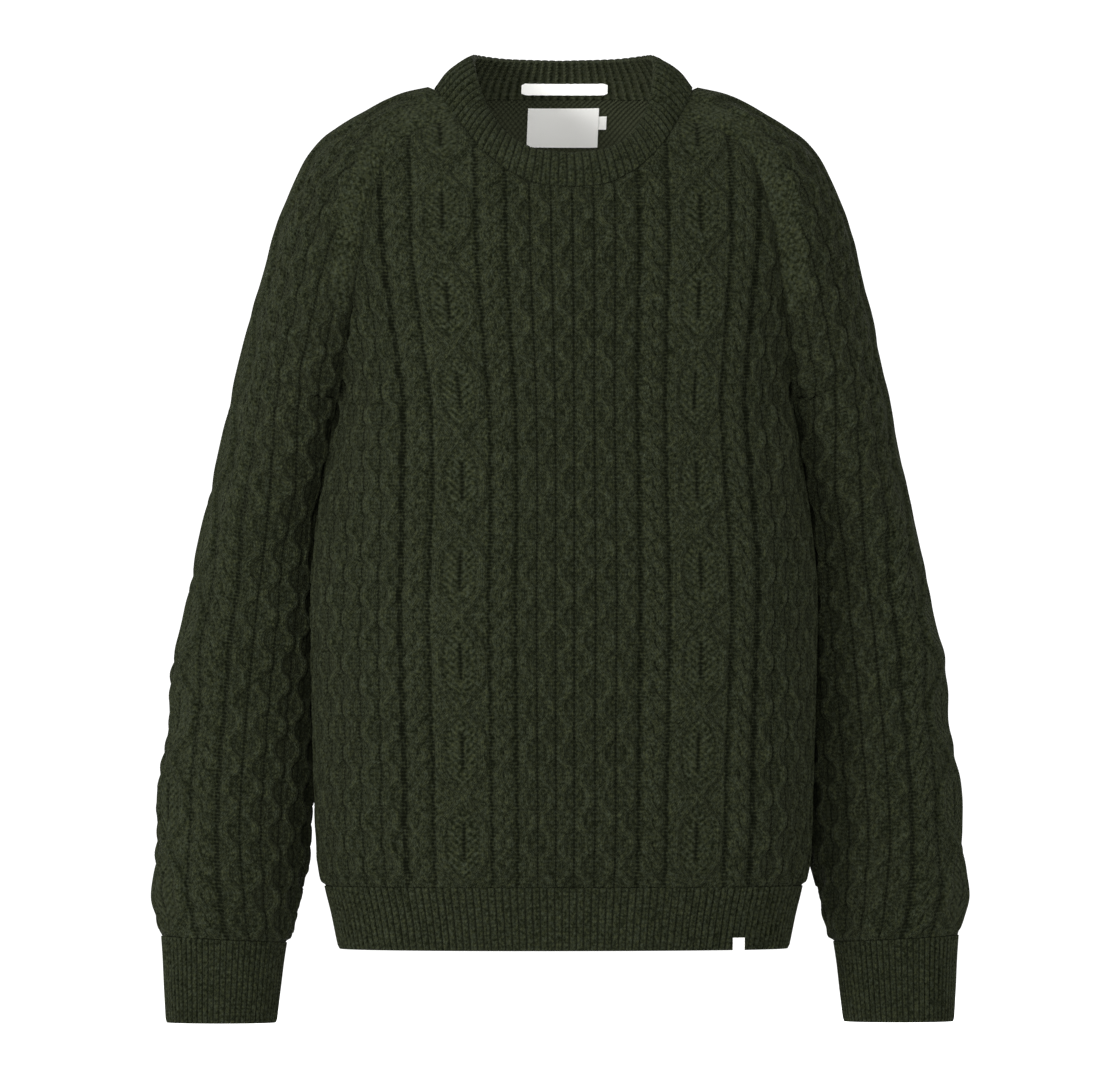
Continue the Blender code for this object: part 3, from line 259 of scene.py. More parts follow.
NECK_CURVE = Table(
    ("round", "x", "height"),
    (
        (0.00, 0.0000, -0.0765),
        (0.10, 0.0230, -0.0745),
        (0.20, 0.0430, -0.0665),
        (0.30, 0.0600, -0.0540),
        (0.38, 0.0730, -0.0400),
        (0.46, 0.0857, -0.0215),
        (0.53, 0.0925, -0.0110),
        (0.60, 0.0975, -0.0010),
        (0.68, 0.0920, -0.0040),
        (0.76, 0.0720, -0.0040),
        (0.88, 0.0380, -0.0040),
        (1.00, 0.0000, -0.0040),
    ),
)
NECK_FRONT_CORNER_ROUND = 0.46
NECK_SIDE_ROUND = 0.60
NECK_BACK_CORNER_ROUND = 0.68

SLEEVE_FORM = Table(
    ("x", "z", "lean", "reach", "depth", "back_set", "turn"),
    (
        (0.3052, -0.6465, 3, 0.0475, 0.0450, 0.036, 0.024),
        (0.3068, -0.6340, 3, 0.0500, 0.0475, 0.036, 0.024),
        (0.3078, -0.6040, 3, 0.0538, 0.0515, 0.037, 0.024),
        (0.3080, -0.5740, 4, 0.0570, 0.0545, 0.039, 0.024),
        (0.3045, -0.5300, 6, 0.0570, 0.0560, 0.044, 0.023),
        (0.2935, -0.4500, 9, 0.0535, 0.0580, 0.051, 0.021),
        (0.2830, -0.3900, 11, 0.0505, 0.0600, 0.053, 0.019),
        (0.2635, -0.3000, 13, 0.0455, 0.0640, 0.049, 0.015),
        (0.2450, -0.2170, 14, 0.0385, 0.0700, 0.032, 0.010),
        (0.2345, -0.1760, 24, 0.0410, 0.0710, 0.024, 0.008),
        (0.2260, -0.1450, 33, 0.0430, 0.0710, 0.018, 0.006),
        (0.2175, -0.1130, 41, 0.0440, 0.0690, 0.013, 0.005),
        (0.2075, -0.0840, 49, 0.0440, 0.0660, 0.009, 0.004),
        (0.1925, -0.0535, 58, 0.0420, 0.0620, 0.006, 0.003),
        (0.1780, -0.0370, 66, 0.0390, 0.0585, 0.004, 0.002),
        (0.1570, -0.0225, 72, 0.0360, 0.0555, 0.003, 0.001),
        (0.1430, -0.0155, 76, 0.0335, 0.0540, 0.002, 0.000),
        (0.1220, -0.0068, 80, 0.0300, 0.0480, 0.001, 0.000),
        (0.0975, -0.0010, 84, 0.0255, 0.0420, 0.000, 0.000),
    ),
)
UNDERARM_ROW = 8
CORNER_ROW = 16
SADDLE_MOSS = 0.026
SLEEVE_CLEARANCE = 0.0072
CLEARANCE_EASE = 0.016
CLEARANCE_SOFTNESS = 0.002
CLEARANCE_TOP = 0.06
UNDERARM_X = 0.172
UNDERARM_SWING = 0.11
SEAM_BLEND = 0.014

CUFF_FORM = Table(
    ("height", "x", "y", "half_width", "half_depth"),
    (
        (-0.7130, 0.2598, 0.0350, 0.0408, 0.0395),
        (-0.6900, 0.2590, 0.0355, 0.0428, 0.0412),
        (-0.6650, 0.2582, 0.0360, 0.0448, 0.0428),
        (-0.6493, 0.2577, 0.0360, 0.0465, 0.0440),
    ),
)
CUFF_EDGE, CUFF_SEAM = CUFF_FORM.rows[0][0], CUFF_FORM.rows[-1][0]
CUFF_RIBS = 62
HEM_RIBS_EACH = 82
COLLAR_RIBS = 90

COLLAR_FORM = Table(
    ("round", "x", "y", "height"),
    (
        (0.00, 0.0000, -0.0745, -0.0505),
        (0.12, 0.0230, -0.0715, -0.0480),
        (0.25, 0.0430, -0.0620, -0.0390),
        (0.38, 0.0580, -0.0450, -0.0200),
        (0.50, 0.0670, -0.0230, 0.0060),
        (0.60, 0.0700, -0.0010, 0.0230),
        (0.70, 0.0665, 0.0190, 0.0260),
        (0.84, 0.0410, 0.0385, 0.0235),
        (1.00, 0.0000, 0.0460, 0.0225),
    ),
)
COLLAR_BULGE = 0.0030
COLLAR_TALL = 0.030

STITCH_MAP = "stitches"
WEAVE_MAP = "weave"

# Points across and up over a label, and over the hem's tab.
LABEL_GRID = (25, 13)
LABEL_EASING = 30
TAB_GRID = (9, 9)
TAB_CLEARANCE = 0.0027

# Soft creases of the worn cloth. Each row is where one starts and where it ends, both as across
# and along, then its width and its lift off the form. Across is from the middle of the piece,
# along is from its cast-on edge.
BODY_FOLDS = (
    (-0.190, 0.375, -0.130, 0.250, 0.020, 0.0035),
    (-0.215, 0.350, -0.170, 0.190, 0.022, -0.0030),
    (0.195, 0.360, 0.150, 0.240, 0.022, 0.0030),
    (0.220, 0.330, 0.185, 0.180, 0.024, -0.0025),
    (-0.060, 0.070, 0.050, 0.045, 0.030, 0.0020),
    (0.070, 0.030, 0.190, 0.055, 0.022, 0.0025),
    (-0.200, 0.060, -0.090, 0.025, 0.022, 0.0025),
    (-0.120, 0.480, -0.040, 0.520, 0.030, 0.0015),
    (0.120, 0.480, 0.045, 0.525, 0.030, 0.0015),
)
SLEEVE_FOLDS = (
    (0.110, 0.420, 0.020, 0.300, 0.020, 0.0040),
    (0.120, 0.360, 0.050, 0.240, 0.018, -0.0035),
    (0.090, 0.270, -0.010, 0.210, 0.020, 0.0035),
    (0.080, 0.190, -0.040, 0.150, 0.018, -0.0025),
    (-0.100, 0.250, -0.020, 0.190, 0.020, 0.0030),
    (0.100, 0.055, -0.020, 0.035, 0.014, 0.0035),
    (0.060, 0.090, -0.090, 0.065, 0.015, -0.0030),
    (-0.110, 0.045, -0.010, 0.020, 0.013, 0.0030),
    (-0.120, 0.380, -0.050, 0.300, 0.022, 0.0030),
)


class Stitch(Enum):
    """Kinds of knitting that the wool finish draws, by the number stored on each point."""

    KNIT = 0
    PURL = 1
    MOSS = 2
    LEAF = 3


class Face(Enum):
    """The two halves of the body."""

    FRONT = -1
    BACK = 1


# -------- numbers


def ease(value: Array) -> Array:
    """Return a soft step from 0 at 0 to 1 at 1."""
    value = np.clip(value, 0.0, 1.0)
    return value * value * (3 - 2 * value)


def bell(value: Array, width: float) -> Array:
    """Return a soft bump that is 1 at 0 and falls away over the width."""
    return np.exp(-((value / width) ** 2))


def dome(value: Array) -> Array:
    """Return a half circle that is 1 at 0 and ends at -1 and 1."""
    return np.sqrt(np.clip(1 - value**2, 0, 1))


def alternate(which: Array) -> Array:
    """Return 1 for even numbers and -1 for odd ones."""
    return np.where(np.mod(which, 2) == 0, 1.0, -1.0)


def unit(vectors: Array) -> Array:
    """Return rows of vectors scaled to length one."""
    return vectors / np.linalg.norm(vectors, axis=-1)[..., None]


def running_length(points: Array) -> Array:
    """Return the distance along a row of points, starting at zero."""
    gaps = np.linalg.norm(np.diff(points, axis=0), axis=1)
    return np.concatenate([[0.0], np.cumsum(gaps)])


def read_rows(keys: Array, values: tuple, at: Array) -> list:
    """Read each row of values where its row of keys reaches the value asked for.

    Args:
        keys: Rising keys, one row for each position.
        values: Arrays with the same rows.
        at: One position for each row.

    Returns:
        One array read from each of the values.
    """
    at = np.clip(at, keys[:, 0], keys[:, -1])
    left = np.clip((keys < at[:, None]).sum(axis=1) - 1, 0, keys.shape[1] - 2)
    rows = np.arange(len(at))
    low, high = keys[rows, left], keys[rows, left + 1]
    part = (at - low) / np.maximum(high - low, 1e-12)
    return [value[rows, left] * (1 - part) + value[rows, left + 1] * part for value in values]


# -------- the body form


def slices(height: Array, back: bool) -> tuple:
    """Cut the body form at the given heights.

    Args:
        height: The heights.
        back: Whether the back half is wanted.

    Returns:
        Side positions, depths and distances round, from the middle to the side seam.
    """
    half = BODY_FORM.read("half_width", height)[:, None]
    depth = BODY_FORM.read("back_depth" if back else "front_depth", height)[:, None]
    angle = np.linspace(0, math.pi / 2, 72)[None, :]
    x = half * np.sin(angle) ** (2 / OVAL_POWER)
    y = depth * np.clip(np.cos(angle), 0, 1) ** (2 / OVAL_POWER)
    lengths = np.zeros_like(x)
    lengths[:, 1:] = np.cumsum(np.hypot(np.diff(x, axis=1), np.diff(y, axis=1)), axis=1)
    return x, y, lengths


def on_body(distance: Array, height: Array, back: bool) -> Array:
    """Find points on the form.

    Args:
        distance: Signed distances round, from the middle of the front or back.
        height: Their heights.
        back: Whether they lie on the back half.

    Returns:
        The points.
    """
    x, y, lengths = slices(height, back)
    across, deep = read_rows(lengths, (x, y), np.abs(distance))
    return np.stack([np.sign(distance) * across, deep if back else -deep, height], axis=1)


def distance_at_depth(depth: Array, height: Array, back: bool) -> Array:
    """Return the distance round the form to where it is this far forward or backward."""
    x, y, lengths = slices(height, back)
    return read_rows(-y, (lengths,), -depth)[0]


def distance_at_x(across: Array, height: Array, back: bool) -> Array:
    """Return the distance round the form to where it is this far to the side."""
    x, y, lengths = slices(height, back)
    return read_rows(x, (lengths,), across)[0]


def side_distance(height: Array, back: bool) -> Array:
    """Return the distance round the form from the middle to the side seam."""
    return slices(height, back)[2][:, -1]


def seam_on_body(seam: Table, part: Array, back: bool) -> tuple:
    """Follow a seam over the form.

    Args:
        seam: The seam's table.
        part: Parts of the seam's length, 0 to 1.
        back: Whether the seam is on the back half.

    Returns:
        Heights and distances round the form.
    """
    heights, depths = seam.column("height"), seam.column("back" if back else "front")
    fine = np.linspace(0, 1, 160)
    along = np.linspace(0, 1, len(heights))
    fine_height, fine_depth = smooth(along, heights, fine), smooth(along, depths, fine)
    fine_distance = distance_at_depth(fine_depth, fine_height, back)
    length = running_length(np.stack([fine_distance, fine_height], axis=1))
    wanted = np.asarray(part, float) * length[-1]
    return np.interp(wanted, length, fine_height), np.interp(wanted, length, fine_distance)


def armhole(part: Array, back: bool) -> tuple:
    """Return heights and distances of the armhole seam, 0 at the underarm to 1 at the top."""
    return seam_on_body(ARMHOLE_SEAM, part, back)


def shoulder(part: Array, back: bool) -> tuple:
    """Return heights and distances of the shoulder seam, 0 at the armhole to 1 at the neck.

    Args:
        part: Parts of the seam.
        back: Whether it is on the back half.

    Returns:
        The heights and distances.
    """
    end = NECK_BACK if back else NECK_FRONT_CORNER
    rows = tuple(row for row in SHOULDER_SEAM.rows if row[0] <= end + 1e-9)
    return seam_on_body(Table(SEAM_COLUMNS, rows), part, back)


def neck_line(round_part: Array, back: bool) -> tuple:
    """Return distances and heights of the neck seam, on the front or the back half."""
    height = NECK_CURVE.read("height", round_part)
    return distance_at_x(NECK_CURVE.read("x", round_part), height, back), height


def neck_seam(round_part: Array) -> Array:
    """Return points of the neck seam, 0 at the front middle to 1 at the back middle.

    Args:
        round_part: Parts of the way round.

    Returns:
        The points.
    """
    points = np.empty((len(round_part), 3))
    for back in (False, True):
        chosen = (round_part > NECK_SIDE_ROUND) == back
        if chosen.any():
            points[chosen] = on_body(*neck_line(round_part[chosen], back), back)
    return points


def body_facing(distance: Array, height: Array, back: bool) -> Array:
    """Return the level way that the form faces at distances round it."""
    ends = [on_body(distance + step, height, back) for step in (LEVEL_PROBE, -LEVEL_PROBE)]
    return unit(np.cross(ends[0] - ends[1], (0, 0, -1 if back else 1)))


# -------- cloth on the body


@dataclass
class BodyCloth:
    """Cloth of the front or the back: across from the middle, along from the hem seam."""

    face: Face
    heights: Array = field(init=False)
    along: Array = field(init=False)

    def __post_init__(self) -> None:
        """Measure the cloth's length up the form."""
        self.heights = np.linspace(HEM_SEAM, 0.0, FORM_ROWS)
        distance = np.full(FORM_ROWS, MEASURED_ACROSS)
        self.along = running_length(on_body(distance, self.heights, self.back))

    @property
    def back(self) -> bool:
        """Whether this is the back."""
        return self.face is Face.BACK

    def to_along(self, height: Array) -> Array:
        """Return the cloth position along for a height."""
        return np.interp(height, self.heights, self.along)

    def to_height(self, along: Array) -> Array:
        """Return the height of a cloth position along."""
        return np.interp(along, self.along, self.heights)

    @staticmethod
    def scale(height: Array) -> Array:
        """Return how far the cloth is stretched round the body at a height."""
        return np.interp(height, STRETCH_HEIGHTS, STRETCH)

    def drift(self, across: Array, height: Array) -> Array:
        """Return how far cloth on one side of the front lies gathered towards the middle.

        Args:
            across: Positions across.
            height: Their heights.

        Returns:
            The shift to the +X side.
        """
        if self.back:
            return np.zeros_like(across)
        pull = np.interp(-across, GATHER_ACROSS, GATHER)
        return np.where(across < 0, pull * ease((GATHER_TOP - height) / GATHER_EASE), 0.0)

    def to_across(self, distance: Array, height: Array) -> Array:
        """Return the cloth position across for a signed distance round the body.

        Args:
            distance: Distances round.
            height: Their heights.

        Returns:
            The positions across.
        """
        across = distance / self.scale(height)
        for _ in range(6):
            across = (distance - self.drift(across, height)) / self.scale(height)
        return across

    def place(self, across: Array, along: Array) -> Array:
        """Set cloth positions on the form.

        Args:
            across: Positions across.
            along: Positions along.

        Returns:
            The points.
        """
        height = self.to_height(along)
        distance = across * self.scale(height) + self.drift(across, height)
        limit = side_distance(height, self.back) - SEAM_GAP / 2
        return on_body(np.clip(distance, -limit, limit), height, self.back)

    def normals(self, across: Array, along: Array) -> Array:
        """Return the way the cloth faces at each position.

        Args:
            across: Positions across.
            along: Positions along.

        Returns:
            One facing for each position.
        """
        step = BODY_PROBE
        ahead = self.place(across + step, along) - self.place(across - step, along)
        up = self.place(across, along + step) - self.place(across, along - step)
        facing = np.cross(ahead, up)
        return unit(-facing if self.back else facing)

    def outline(self, step: float) -> Array:
        """Draw the cut of the panel.

        Args:
            step: Spacing of the points.

        Returns:
            Rows of across and along, anticlockwise.
        """
        edge = side_distance(np.array([HEM_SEAM]), self.back)[0]
        count = int(round(edge / step))
        right = [(d, HEM_SEAM) for d in np.linspace(0, edge, count + 1)]
        sides = np.linspace(HEM_SEAM, UNDERARM, int(SIDE_LENGTH / step) + 1)[1:-1]
        right += list(zip(side_distance(sides, self.back), sides))
        for seam, length, skip in ((armhole, ARMHOLE_LENGTH, 0), (shoulder, SHOULDER_LENGTH, 1)):
            height, distance = seam(np.linspace(0, 1, int(length / step) + 1)[skip:], self.back)
            right += list(zip(distance, height))
        corner = NECK_BACK_CORNER_ROUND if self.back else NECK_FRONT_CORNER_ROUND
        middle = 1.0 if self.back else 0.0
        rounds = np.linspace(corner, middle, int(HALF_NECK_LENGTH / step) + 1)[1:]
        right += list(zip(*neck_line(rounds, self.back)))
        right = np.array(right)
        ring = np.concatenate([right, right[-2:0:-1] * (-1, 1)])
        across = self.to_across(ring[:, 0], ring[:, 1])
        return np.stack([across, self.to_along(ring[:, 1])], axis=1)


# -------- cloth on the arm


class SleeveCloth:
    """Cloth of the +X sleeve: across from its patterned middle, front plus; along from the cuff."""

    ARC_SAMPLES = 96

    def __init__(self) -> None:
        """Measure the sleeve and keep its rows for quick reading."""
        keys = np.arange(len(SLEEVE_FORM.rows), dtype=float)
        fine = np.linspace(0, keys[-1], 600)
        path = [smooth(keys, SLEEVE_FORM.column(name), fine) for name in ("x", "z")]
        length = running_length(np.stack(path, axis=1))
        self.station = np.interp(keys, fine, length)
        self.end = float(length[-1])
        self.underarm = float(self.station[UNDERARM_ROW])
        self.corner = float(self.station[CORNER_ROW])
        self.neck_fix = None
        self.neck_fix = self.neck_correction()
        self.row_keys = np.unique(
            np.concatenate([np.linspace(0, self.end, 420), [self.underarm, self.corner]])
        )
        self.kept = {back: self.arcs(self.row_keys, back) for back in (False, True)}

    def value(self, name: str, along: Array) -> Array:
        """Return one of the sleeve's sizes along its length."""
        return smooth(self.station, SLEEVE_FORM.column(name), along)

    def frame(self, along: Array) -> dict:
        """Find the plane and oval of each knitted row.

        Args:
            along: Positions along.

        Returns:
            The outward and upward directions, the two reaches and the oval's centre.
        """
        lean = np.radians(self.value("lean", along))
        outward = np.stack([np.cos(lean), np.zeros_like(lean), np.sin(lean)], axis=1)
        normal = np.stack([-np.sin(lean), np.zeros_like(lean), np.cos(lean)], axis=1)
        reach = self.value("reach", along)
        middle = [self.value(name, along) for name in ("x", "back_set", "z")]
        centre = np.stack(middle, axis=1) - outward * reach[:, None]
        depth = self.value("depth", along)
        return dict(outward=outward, normal=normal, reach=reach, depth=depth, centre=centre)

    def inner_seam(self, along: Array) -> Array:
        """Return points of the inner seam, which swings forward to the underarm point.

        Args:
            along: Positions along.

        Returns:
            The points.
        """
        frame, last = self.frame(along), self.frame(np.array([self.underarm]))
        plain = frame["centre"] - frame["outward"] * frame["reach"][:, None]
        end = np.array([[UNDERARM_X, 0.0, UNDERARM + SEAM_GAP]])
        shift = end - (last["centre"] - last["outward"] * last["reach"][:, None])
        start = self.underarm - UNDERARM_SWING
        return plain + shift * ease((along - start) / UNDERARM_SWING)[:, None]

    def edge_points(self, along: Array, back: bool) -> Array:
        """Find where each row ends: the inner seam, then the armhole, then the shoulder seam.

        Args:
            along: Positions along.
            back: Whether the back edge is wanted.

        Returns:
            The points.
        """
        points = np.empty((len(along), 3))
        low = along <= self.underarm
        top = along > self.corner
        if low.any():
            points[low] = self.inner_seam(along[low])
        for chosen, start, end, seam in (
            (~low & ~top, self.underarm, self.corner, armhole),
            (top, self.corner, self.end, shoulder),
        ):
            if not chosen.any():
                continue
            part = (along[chosen] - start) / (end - start)
            height, distance = seam(part, back)
            next_height, next_distance = seam(np.clip(part + ROUND_PROBE, 0, 1), back)
            last_height, last_distance = seam(np.clip(part - ROUND_PROBE, 0, 1), back)
            run = unit(np.stack([next_distance - last_distance, next_height - last_height], axis=1))
            shift = np.stack([run[:, 1], -run[:, 0]], axis=1) * SEAM_GAP
            if start == self.underarm:
                shift[part < 0.02] = (0.0, SEAM_GAP)
            points[chosen] = on_body(distance + shift[:, 0], height + shift[:, 1], back)
        return points

    def arcs(self, along: Array, back: bool) -> tuple:
        """Draw each row from the outer middle round to its edge.

        Args:
            along: Positions along.
            back: Whether to go round the back.

        Returns:
            The rows' points and the distances along them.
        """
        frame = self.frame(along)
        edge = self.edge_points(along, back) - frame["centre"]
        side = 1.0 if back else -1.0
        out_part = (edge * frame["outward"]).sum(1) / frame["reach"]
        side_part = side * edge[:, 1] / frame["depth"]
        lift = (edge * frame["normal"]).sum(1)
        end_angle = np.mod(np.arctan2(side_part, out_part), 2 * math.pi)
        end_size = np.hypot(side_part, out_part)
        t = np.linspace(0, 1, self.ARC_SAMPLES)[None, :]
        angle = end_angle[:, None] * t
        late = ease((t - 0.25) / 0.75)
        size = 1 + (end_size[:, None] - 1) * late
        reach = (frame["reach"][:, None] * np.cos(angle) * size)[..., None]
        points = frame["centre"][:, None, :] + frame["outward"][:, None, :] * reach
        points = points + frame["normal"][:, None, :] * (lift[:, None] * late)[..., None]
        points[..., 1] += side * frame["depth"][:, None] * np.sin(angle) * size
        if self.neck_fix is not None:
            share = ease((along - self.corner) / (self.end - self.corner))
            points += self.neck_fix[back][None] * share[:, None, None]
        points = self.clear_of_body(points, along)
        lengths = np.zeros(points.shape[:2])
        lengths[:, 1:] = np.cumsum(np.linalg.norm(np.diff(points, axis=1), axis=2), axis=1)
        return points, lengths

    def clear_of_body(self, points: Array, along: Array) -> Array:
        """Keep the sleeve outside the body, touching it only along the seam.

        Args:
            points: Rows of points.
            along: The rows' positions.

        Returns:
            The points, pushed out where they were too close.
        """
        x, y, height = points[..., 0], points[..., 1], points[..., 2]
        half, front, back = (
            BODY_FORM.read(name, height)
            for name in ("half_width", "front_depth", "back_depth")
        )
        inward = np.clip(1 - (np.abs(y) / np.where(y > 0, back, front)) ** OVAL_POWER, 0, 1)
        surface = half * inward ** (1 / OVAL_POWER)
        from_edge = np.linalg.norm(points - points[:, -1:], axis=2)
        away = np.maximum(from_edge, (self.underarm - along)[:, None])
        clear = SLEEVE_CLEARANCE * ease(away / CLEARANCE_EASE)
        short = x - surface - clear
        soft = CLEARANCE_SOFTNESS * ease(away / 0.010) + 1e-6
        pushed = surface + clear + 0.5 * (short + np.hypot(short, soft))
        share = 1 - ease((along - self.underarm - CLEARANCE_TOP) / CLEARANCE_TOP)[:, None]
        points[..., 0] = x + (pushed - x) * share * (inward > 0)
        return points

    def neck_correction(self) -> dict:
        """Return how far the last row, drawn plainly, is from the neck seam, for each side.

        Returns:
            The shifts along the last row, by whether it is the back.
        """
        fixes = {}
        part = np.linspace(0, 1, self.ARC_SAMPLES)[:, None]
        for back in (False, True):
            points, _ = self.arcs(np.array([self.end]), back)
            corner = NECK_BACK_CORNER_ROUND if back else NECK_FRONT_CORNER_ROUND
            seam = neck_seam(np.linspace(NECK_SIDE_ROUND, corner, self.ARC_SAMPLES))
            fixes[back] = seam - points[0]
            fixes[back] = fixes[back] - fixes[back][-1:] * part
        middle = (fixes[False][0] + fixes[True][0]) / 2
        return {
            back: fix + (middle - fix[0]) * (1 - ease(part / 0.2)) for back, fix in fixes.items()
        }

    def half_widths(self, along: Array) -> tuple:
        """Return the cloth from the patterned middle to the front edge and to the back edge.

        Args:
            along: Positions along.

        Returns:
            The two widths.
        """
        turn = self.value("turn", along)
        front, back = (
            np.interp(along, self.row_keys, self.kept[back][1][:, -1]) for back in (False, True)
        )
        return front - turn, back + turn

    def place(self, across: Array, along: Array) -> Array:
        """Set cloth positions on the arm.

        Args:
            across: Positions across.
            along: Positions along.

        Returns:
            The points.
        """
        from_outer = across + self.value("turn", along)
        row = np.interp(along, self.row_keys, np.arange(len(self.row_keys)))
        low = np.clip(row.astype(int), 0, len(self.row_keys) - 2)
        part = (row - low)[:, None]
        points = np.empty((len(across), 3))
        for back in (False, True):
            chosen = (from_outer < 0) == back
            if not chosen.any():
                continue
            arc, lengths = self.kept[back]
            ends, first, late = lengths[:, -1], low[chosen], part[chosen]
            whole = ends[first] * (1 - late[:, 0]) + ends[first + 1] * late[:, 0]
            share = np.abs(from_outer[chosen]) / whole
            found = []
            for rows in (first, first + 1):
                axes = tuple(arc[rows][..., axis] for axis in range(3))
                found.append(np.stack(read_rows(lengths[rows], axes, share * ends[rows]), axis=1))
            points[chosen] = found[0] * (1 - late) + found[1] * late
        return points

    def wrapped(self, across: Array, along: Array, front: Array, back: Array) -> Array:
        """Return places that may run past the inner seam and on round the tube.

        Args:
            across: Positions across.
            along: Positions along.
            front: The width to the front edge.
            back: The width to the back edge.

        Returns:
            The points.
        """
        across = np.where(across > front, across - front - back, across)
        across = np.where(across < -back, across + front + back, across)
        return self.place(across, along)

    def plain_normals(self, across: Array, along: Array) -> Array:
        """Return the way the cloth faces, before the seams are matched.

        Args:
            across: Positions across.
            along: Positions along.

        Returns:
            One facing for each position.
        """
        step = SLEEVE_PROBE
        front, back = self.half_widths(along)
        inside = np.clip(across, -back + 3 * step, front - 3 * step)
        where = np.where(along < self.underarm - 0.004, across, inside)
        ahead = self.wrapped(where + step, along, front, back)
        ahead = ahead - self.wrapped(where - step, along, front, back)
        part = across / np.where(across > 0, front, back)
        ends = []
        for other in (np.clip(along + step, 0, self.end), np.clip(along - step, 0, self.end)):
            other_front, other_back = self.half_widths(other)
            ends.append(self.place(part * np.where(across > 0, other_front, other_back), other))
        return unit(np.cross(ends[0] - ends[1], ahead))

    def normals(self, across: Array, along: Array) -> Array:
        """Find the way the cloth faces.

        Args:
            across: Positions across.
            along: Positions along.

        Returns:
            Facings that agree across the inner seam and beside the body's seams.
        """
        facing = self.plain_normals(across, along)
        front, back = self.half_widths(along)
        edge = (np.abs(across - front) < 1e-7) | (np.abs(across + back) < 1e-7)
        on_seam = (along <= self.underarm + 1e-9) & edge
        if on_seam.any():
            rows = along[on_seam]
            ends = (front[on_seam], -back[on_seam])
            facing[on_seam] = unit(sum(self.plain_normals(end, rows) for end in ends))
        near = np.minimum(front - across, across + back)
        weight = np.where(along > self.underarm, 1 - ease(near / SEAM_BLEND), 0.0)
        for is_back in (False, True):
            chosen = (weight > 0) & ((across < (front - back) / 2) == is_back)
            if not chosen.any():
                continue
            cloth = BodyCloth(Face.BACK if is_back else Face.FRONT)
            height, distance = self.seam_place(along[chosen], is_back)
            seam = cloth.normals(cloth.to_across(distance * 0.995, height), cloth.to_along(height))
            alike = ease(((facing[chosen] * seam).sum(1) - 0.1) / 0.5)
            share = (weight[chosen] * alike)[:, None]
            facing[chosen] = unit(facing[chosen] * (1 - share) + seam * share)
        return facing

    def seam_place(self, along: Array, back: bool) -> tuple:
        """Return the heights and distances of the seam points beside the given rows.

        Args:
            along: The rows.
            back: Whether the back seam is wanted.

        Returns:
            The heights and distances.
        """
        cap = np.clip((along - self.underarm) / (self.corner - self.underarm), 0, 1)
        top = np.clip((along - self.corner) / (self.end - self.corner), 0, 1)
        on_cap, on_top = armhole(cap, back), shoulder(top, back)
        high = along > self.corner
        return np.where(high, on_top[0], on_cap[0]), np.where(high, on_top[1], on_cap[1])

    def outline(self, step: float) -> Array:
        """Draw the cut of the sleeve.

        Args:
            step: Spacing of the points.

        Returns:
            Rows of across and along, anticlockwise seen from outside.
        """
        up = [
            np.linspace(start, end, int(length / step) + 1)[1:]
            for start, end, length in (
                (0.0, self.underarm, SLEEVE_SEAM_LENGTH),
                (self.underarm, self.corner, ARMHOLE_LENGTH),
                (self.corner, self.end, SHOULDER_LENGTH),
            )
        ]
        up = np.concatenate(up)
        first_front, first_back = self.half_widths(np.array([0.0]))
        front, back = self.half_widths(up)
        hem = np.linspace(-first_back[0], first_front[0], int(WRIST_LENGTH / step) + 1)
        top = np.linspace(front[-1], -back[-1], int(SADDLE_END_LENGTH / step) + 1)[1:-1]
        ring = [(u, 0.0) for u in hem]
        ring += list(zip(front, up))
        ring += [(u, self.end) for u in top]
        ring += list(zip(-back[::-1], up[::-1]))
        return np.array(ring)


# -------- the knitting


@dataclass(frozen=True)
class Band:
    """A band of one pattern, and where it lies on each side of the middle."""

    kind: str
    start: float
    width: float

    @property
    def middle(self) -> float:
        """The middle of the band, which is the panel's middle for a band that starts there."""
        return self.start + self.width / 2 if self.start or self.kind == "honeycomb" else 0.0

    def holds(self, away: Array) -> Array:
        """Return which places, by their distance from the panel's middle, lie in the band."""
        return (away >= self.start) & (away < self.start + self.width)


